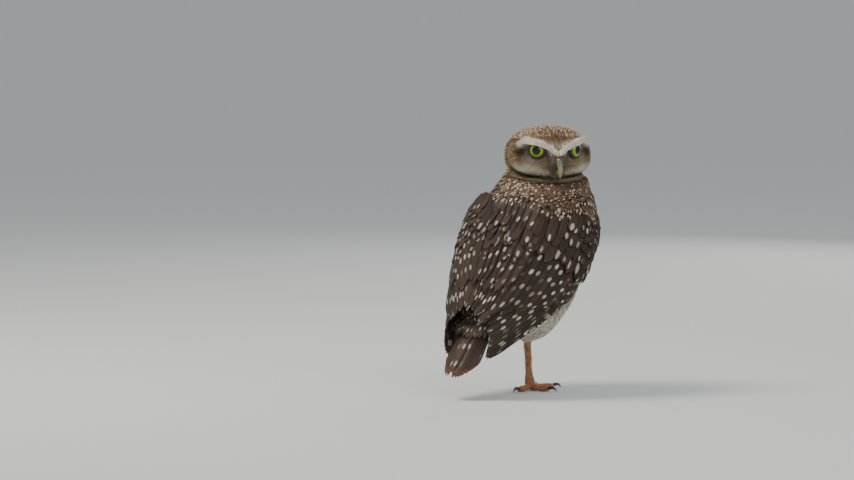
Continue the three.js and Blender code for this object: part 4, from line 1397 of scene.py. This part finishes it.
wet_eye = eye_finish()
for side, label in ((1, "left"), (-1, "right")):
    centre, aim, across, up = eye_frame(side)
    polar = np.linspace(0, math.pi * 0.72, 40)
    turn = np.linspace(0, 2 * math.pi, AROUND, endpoint=False)
    bulge = 0.55 * np.exp(-((polar / 0.5) ** 2))
    radius = EYE_RADIUS - 0.15 + bulge
    points = [centre + aim * radius[0]]
    rings = [(0.0, 0.0, 0.0)]
    for angle, r in zip(polar[1:], radius[1:], strict=True):
        for a in turn:
            flat = math.sin(angle) * (across * math.cos(a) + up * math.sin(a))
            points.append(centre + r * (aim * math.cos(angle) + flat))
            rings.append((EYE_RADIUS * math.sin(angle) if angle < math.pi / 2 else 12.0, a, 0.0))
    faces = [(0, 1 + k, 1 + (k + 1) % AROUND) for k in range(AROUND)]
    for j in range(len(polar) - 2):
        m, n = 1 + j * AROUND, 1 + (j + 1) * AROUND
        for k in range(AROUND):
            after = (k + 1) % AROUND
            faces.append((m + k, n + k, n + after, m + after))
    faces.append(tuple(reversed(range(n, n + AROUND))))
    if side > 0:
        faces = [face[::-1] for face in faces]
    eye = shape(f"eyeball_{label}", head_place(np.array(points)), faces)
    attribute = eye.data.attributes.new("ring", "FLOAT_VECTOR", "POINT")
    attribute.data.foreach_set("vector", np.array(rings, np.float32).reshape(-1))
    eye.data.shade_smooth()
    eye.data.materials.append(wet_eye)
    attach(eye, "root")
    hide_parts(f"eye_{label}")

# Lids
# A fold of bare black skin round each eye: a rolled edge on the eyeball, that runs back under the
# feathers. Its top edge drops towards the bill.


def lid_finish():
    material, surface, ink = finish("lid_skin", 0.45)
    place = ink.node("ShaderNodeTexCoord", output="Object")
    folds = ink.node("ShaderNodeTexNoise", None, {"Vector": place, "Scale": 1400.0, "Detail": 3.0})
    stops = [(0.3, (0.012, 0.01, 0.009)), (0.75, (0.05, 0.036, 0.028))]
    dark = ink.node("ShaderNodeValToRGB", {"stops": stops}, {"Fac": folds}, output="Color")
    connect(dark, surface, "Base Color")
    bumped(folds, surface, 0.5, 0.0003)
    return material


# The fold's section: how far out from the eye's opening, and how far off the eyeball.
LID_FOLD = ((-0.5, -0.3), (0, 0.1), (0.3, 0.42), (0.8, 0.5), (1.5, 0.25), (2.4, -0.3), (3.6, -1.4))
lid_skin = lid_finish()
for side, label in ((1, "left"), (-1, "right")):
    centre, aim, across, up = eye_frame(side)
    turn = np.linspace(0, 2 * math.pi, 72, endpoint=False)
    level = 4.3 + 0.32 * side * np.cos(turn) * 6.4
    steep = np.maximum(np.sin(turn), 0.15)
    edge = np.minimum(6.7, np.where(np.sin(turn) > 0.15, level / steep, 6.7))
    spots = across * np.cos(turn)[:, None] + up * np.sin(turn)[:, None]
    grid = []
    for share, rise in LID_FOLD:
        ball = EYE_RADIUS + rise
        angle = np.arcsin(np.clip((edge + share) / ball, -1, 1) * 0.98)[:, None]
        grid.append(centre + ball * (aim * np.cos(angle) + spots * np.sin(angle)))
    inner = [centre + (ring - centre) * 0.955 for ring in grid[::-1]]
    rings = np.array(grid + inner)
    count, sides = rings.shape[:2]
    faces = []
    for r in range(count):
        m, n = r * sides, ((r + 1) % count) * sides
        for k in range(sides):
            after = (k + 1) % sides
            faces.append((m + k, m + after, n + after, n + k))
    if side < 0:
        faces = [face[::-1] for face in faces]
    lid = shape(f"lid_{label}", head_place(rings.reshape(-1, 3)), faces)
    lid.data.shade_smooth()
    lid.data.materials.append(lid_skin)
    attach(lid, "root")

# Bill
# The upper half is a ridged hook of horn, grey-green at the base and yellow at the tip, with a swollen
# cere and two round nostrils; the lower half shuts under it.


def limb(path, radii, sides, steps, squash=1.0, relief=None):
    """Rings of an oval tube along a smooth path, with a radius at each point of the path."""
    u = np.linspace(0, 1, steps)
    centre = smooth_line(path)(u)
    radius = profile(list(zip(np.linspace(0, 1, len(radii)), radii, strict=True)))(u)
    way = unit(np.gradient(centre, axis=0))
    side = np.cross(np.array([0.0, 0.0, 1.0]), way)
    weak = np.linalg.norm(side, axis=1) < 0.1
    side[weak] = np.cross(np.array([0.0, 1.0, 0.0]), way[weak])
    side = unit(side)
    if weak.any() and not weak.all():
        for j in range(1, steps):
            if side[j] @ side[j - 1] < 0:
                side[j] = -side[j]
    up = unit(np.cross(way, side))
    angle = np.linspace(0, 2 * math.pi, sides, endpoint=False)
    wide = radius[:, None] * np.cos(angle)[None]
    tall = radius[:, None] * np.sin(angle)[None] * squash
    if relief is not None:
        bump = relief(u[:, None], angle[None])
        wide, tall = wide * (1 + bump), tall * (1 + bump)
    return centre[:, None] + wide[..., None] * side[:, None] + tall[..., None] * up[:, None]


def horn_finish(name, stops, low, high):
    """Horn, coloured along its length by stops from one height to another."""
    material, surface, ink = finish(name, 0.34)
    surface.inputs["Coat Weight"].default_value = 0.25
    place = ink.node("ShaderNodeTexCoord", output="Object")
    height = ink.node("ShaderNodeSeparateXYZ", None, {"Vector": place}, output="Z")
    grain = ink.node("ShaderNodeTexNoise", None, {"Vector": place, "Scale": 420.0, "Detail": 4.0})
    share = (height - low * MM) / ((high - low) * MM) + (grain - 0.5) * 0.25
    colour = ink.node("ShaderNodeValToRGB", {"stops": stops}, {"Fac": share}, output="Color")
    connect(colour.blend(grain.step(0.55, 0.8) * 0.4, (0.10, 0.09, 0.06, 1)), surface, "Base Color")
    bumped(grain, surface, 0.35, 0.0003)
    return material


bill_stops = [
    (0.0, (0.42, 0.34, 0.11)), (0.35, (0.28, 0.25, 0.11)),
    (0.65, (0.14, 0.15, 0.10)), (1.0, (0.06, 0.06, 0.05)),
]
bill_horn = horn_finish("bill_horn", bill_stops, 184, 203)
upper_path = [
    (0, -24, -1.6), (0, -30, -1.8), (0, -34, -4), (0, -36.4, -8.4), (0, -36.8, -13), (0, -35.6, -17.2),
]
lower_path = [(0, -24, -9.2), (0, -29.5, -10.6), (0, -32.2, -12.4), (0, -33.6, -14.8)]


def bill_relief(u, angle):
    """The ridge down the bill's front, the swollen cere and the nostrils, as shares of its radius."""
    ridge = 0.12 * np.exp(-(((angle - math.pi / 2) / 0.35) ** 2)) * smooth(0.25, 0.5, u)
    cere = 0.10 * np.exp(-(((u - 0.32) / 0.10) ** 2))
    left = np.exp(-(((angle - 0.35) / 0.22) ** 2))
    right = np.exp(-(((angle - (math.pi - 0.35)) / 0.22) ** 2))
    nostrils = -0.24 * np.exp(-(((u - 0.40) / 0.035) ** 2)) * (left + right)
    return ridge + cere + nostrils


upper_rings = limb(upper_path, [2.9, 2.9, 2.7, 2.1, 1.4, 0.3], 40, 60, 1.15, bill_relief)
lower_rings = limb(lower_path, [2.3, 2.1, 1.5, 0.4], 28, 30, 0.8)
for name, rings, node in (
    ("bill_hook", upper_rings, "bill_upper"),
    ("bill_under", lower_rings, "bill_lower"),
):
    points, faces = loft(head_place(rings))
    bill = shape(name, points, faces)
    bill.data.shade_smooth()
    bill.data.materials.append(bill_horn)
    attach(bill, "root")
    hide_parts(node)

# Legs and feet
# The standing leg is slender and scaly, orange-brown, with small plates down its front and on its toes;
# the other foot hangs half closed from the belly. Sparse bristles grow down the standing shank.
# Each toe's heading, length and thickness at the root.
TOES = [(-28, 20, 2.9), (12, 25, 3.0), (82, 19, 2.8), (172, 17, 2.8)]
TUCKED = np.array([13.0, -25.0, 62.0])


def leg_finish():
    material, surface, ink = finish("leg_scales", 0.55)
    place = ink.node("ShaderNodeTexCoord", output="Object")
    cells = {"Vector": place, "Scale": 900.0}
    plates = ink.node("ShaderNodeTexVoronoi", {"feature": "DISTANCE_TO_EDGE"}, cells)
    grain = ink.node("ShaderNodeTexNoise", None, {"Vector": place, "Scale": 260.0, "Detail": 4.0})
    stops = [(0.25, (0.24, 0.085, 0.028)), (0.55, (0.42, 0.17, 0.06)), (0.8, (0.55, 0.28, 0.12))]
    colour = ink.node("ShaderNodeValToRGB", {"stops": stops}, {"Fac": grain}, output="Color")
    connect(colour.blend(plates.step(0.1, 0.02) * 0.3, (0.14, 0.055, 0.025, 1)), surface, "Base Color")
    height = plates.step(0.0, 0.2) + grain * 0.3
    bumped(height, surface, 0.7, 0.0005)
    return material


leg_scales = leg_finish()
claw_stops = [(0.0, (0.016, 0.013, 0.012)), (0.6, (0.03, 0.024, 0.02)), (1.0, (0.08, 0.06, 0.045))]
claw_horn = horn_finish("claw_horn", claw_stops, 0, 60)


def rings_of_plates(along, around):
    """Low steps round a toe or a shank, like its plates, deeper on top than below."""

    def relief(u, angle):
        step = np.abs(np.sin(u * along * math.pi)) ** 0.5
        top = 0.5 + 0.5 * np.sin(angle)
        return 0.07 * (step - 0.6) * top + 0.02 * np.sin(angle * around)

    return relief


def toe_place(heading, reach, z):
    """A place by the standing foot: a heading from straight ahead, in degrees, a reach and a height."""
    angle = math.radians(heading)
    return (FOOT[0] - reach * math.sin(angle), FOOT[1] - reach * math.cos(angle), z)


def joined(name, parts, finish_used, nodes, voxel=None, lowest=None):
    """One piece from several limbs, melted together where a voxel size is given."""
    points, faces = [], []
    for rings in parts:
        more_points, more_faces = loft(rings)
        start = len(points)
        points.extend(more_points)
        faces.extend(tuple(start + i for i in face) for face in more_faces)
    points = np.array(points) - FOOT
    made = shape(name, points, faces)
    if voxel:
        melt = made.modifiers.new("melt", "REMESH")
        melt.mode = "VOXEL"
        melt.voxel_size = voxel * MM
        ease = made.modifiers.new("ease", "SMOOTH")
        ease.iterations = 3
        settled(made)
    if lowest is not None:
        co = np.zeros(len(made.data.vertices) * 3)
        made.data.vertices.foreach_get("co", co)
        co[2::3] = np.maximum(co[2::3], lowest)
        made.data.vertices.foreach_set("co", co)
        made.data.update()
    made.data.shade_smooth()
    made.data.materials.append(finish_used)
    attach(made, "root")
    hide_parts(*nodes)


shank_path = [(-3.8, 1.6, 50), (-3, 0.2, 40), (-1.6, -2.6, 28), (-0.2, -5, 16), (0.5, -7, 7), (0.5, -7, 4)]
foot_parts = [limb(shank_path, [3.4, 3.1, 2.8, 3.0, 4.4, 3.6], 32, 90, 1.0, rings_of_plates(17, 5))]
claw_parts = []
for heading, length, radius in TOES:
    heights = zip((0, 0.25, 0.5, 0.75, 1), (5.2, 3.4, 2.7, 2.6, 2.2), strict=True)
    path = [toe_place(heading, length * u, z) for u, z in heights]
    radii = [radius + 0.9, radius - 0.1, radius - 0.35, radius - 0.1, radius - 0.8]
    foot_parts.append(limb(path, radii, 28, 60, 0.95, rings_of_plates(9, 4)))
    hook = zip((-1.4, 1.6, 5, 7.4, 8.6), (2.4, 3.4, 3.7, 2.3, 0.55), strict=True)
    path = [toe_place(heading, length + r, z) for r, z in hook]
    claw_parts.append(limb(path, [1.45, 1.5, 1.15, 0.7, 0.15], 20, 26))
joined("leg_standing", foot_parts, leg_scales, ["tarsus_right", "foot_right"], 0.45, 0.0)
joined("claws_standing", claw_parts, claw_horn, [f"claw_right_{i}" for i in (1, 2, 3, 4)])


def leg_hairs():
    """Sparse short hairs down the shank, as this owl has in place of feathers."""
    draw = np.random.default_rng(51)
    u = draw.random(240) ** 0.8
    centre = smooth_line(shank_path[:5])(u)
    angle = draw.uniform(0, 2 * math.pi, len(u))
    out = np.stack([np.cos(angle), np.sin(angle), np.zeros(len(u))], -1)
    steps = np.linspace(0, 1, 4)[None, :, None]
    start = (centre + out * 2.4)[:, None, :]
    path = start + steps * (out[:, None, :] * 1.7 + np.array([0, 0, -2.6]) * steps)
    ups = np.repeat(np.cross(out, (0, 0, 1.0))[:, None, :], 4, 1)
    widths = draw.uniform(0.1, 0.17, (len(u), 1)) * np.array([1.0, 0.9, 0.6, 0.15])
    tints = np.array([0.52, 0.42, 0.30]) * draw.uniform(0.7, 1.15, (len(u), 1))
    return vanes(
        "leg_hairs", path - FOOT, ups, widths, 0.08, 0.1, 3, 0.0, tints, on_map(centre - FOOT)
    )


hairs = leg_hairs()
hairs.data.materials.append(face_bristle)
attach(hairs, "root")


def tucked_place(heading, reach, drop):
    """A place by the drawn-up foot, as for the standing one."""
    angle = math.radians(heading)
    return tuple(TUCKED + (-reach * math.sin(angle), -reach * math.cos(angle), -drop))


tucked_parts = [limb([(10, -17, 66), (13, -23, 63), (13.2, -27, 61)], [4.2, 4.6, 3.6], 28, 24)]
tucked_claws = []
for heading in (-26, 0, 27):
    path = [tucked_place(heading, r, d) for r, d in ((0, 0), (7, 1), (12, 4.5), (14, 10))]
    tucked_parts.append(limb(path, [3.3, 2.8, 2.6, 2.0], 28, 50, 1.0, rings_of_plates(8, 4)))
    path = [tucked_place(heading, r, d) for r, d in ((14, 9), (14.2, 12.4), (12.8, 15.4), (10.4, 17))]
    tucked_claws.append(limb(path, [1.35, 1.35, 0.85, 0.15], 20, 24))
joined("foot_tucked", tucked_parts, leg_scales, ["foot_left"], 0.45)
joined("claws_tucked", tucked_claws, claw_horn, [f"claw_left_{i}" for i in (1, 2, 3)])
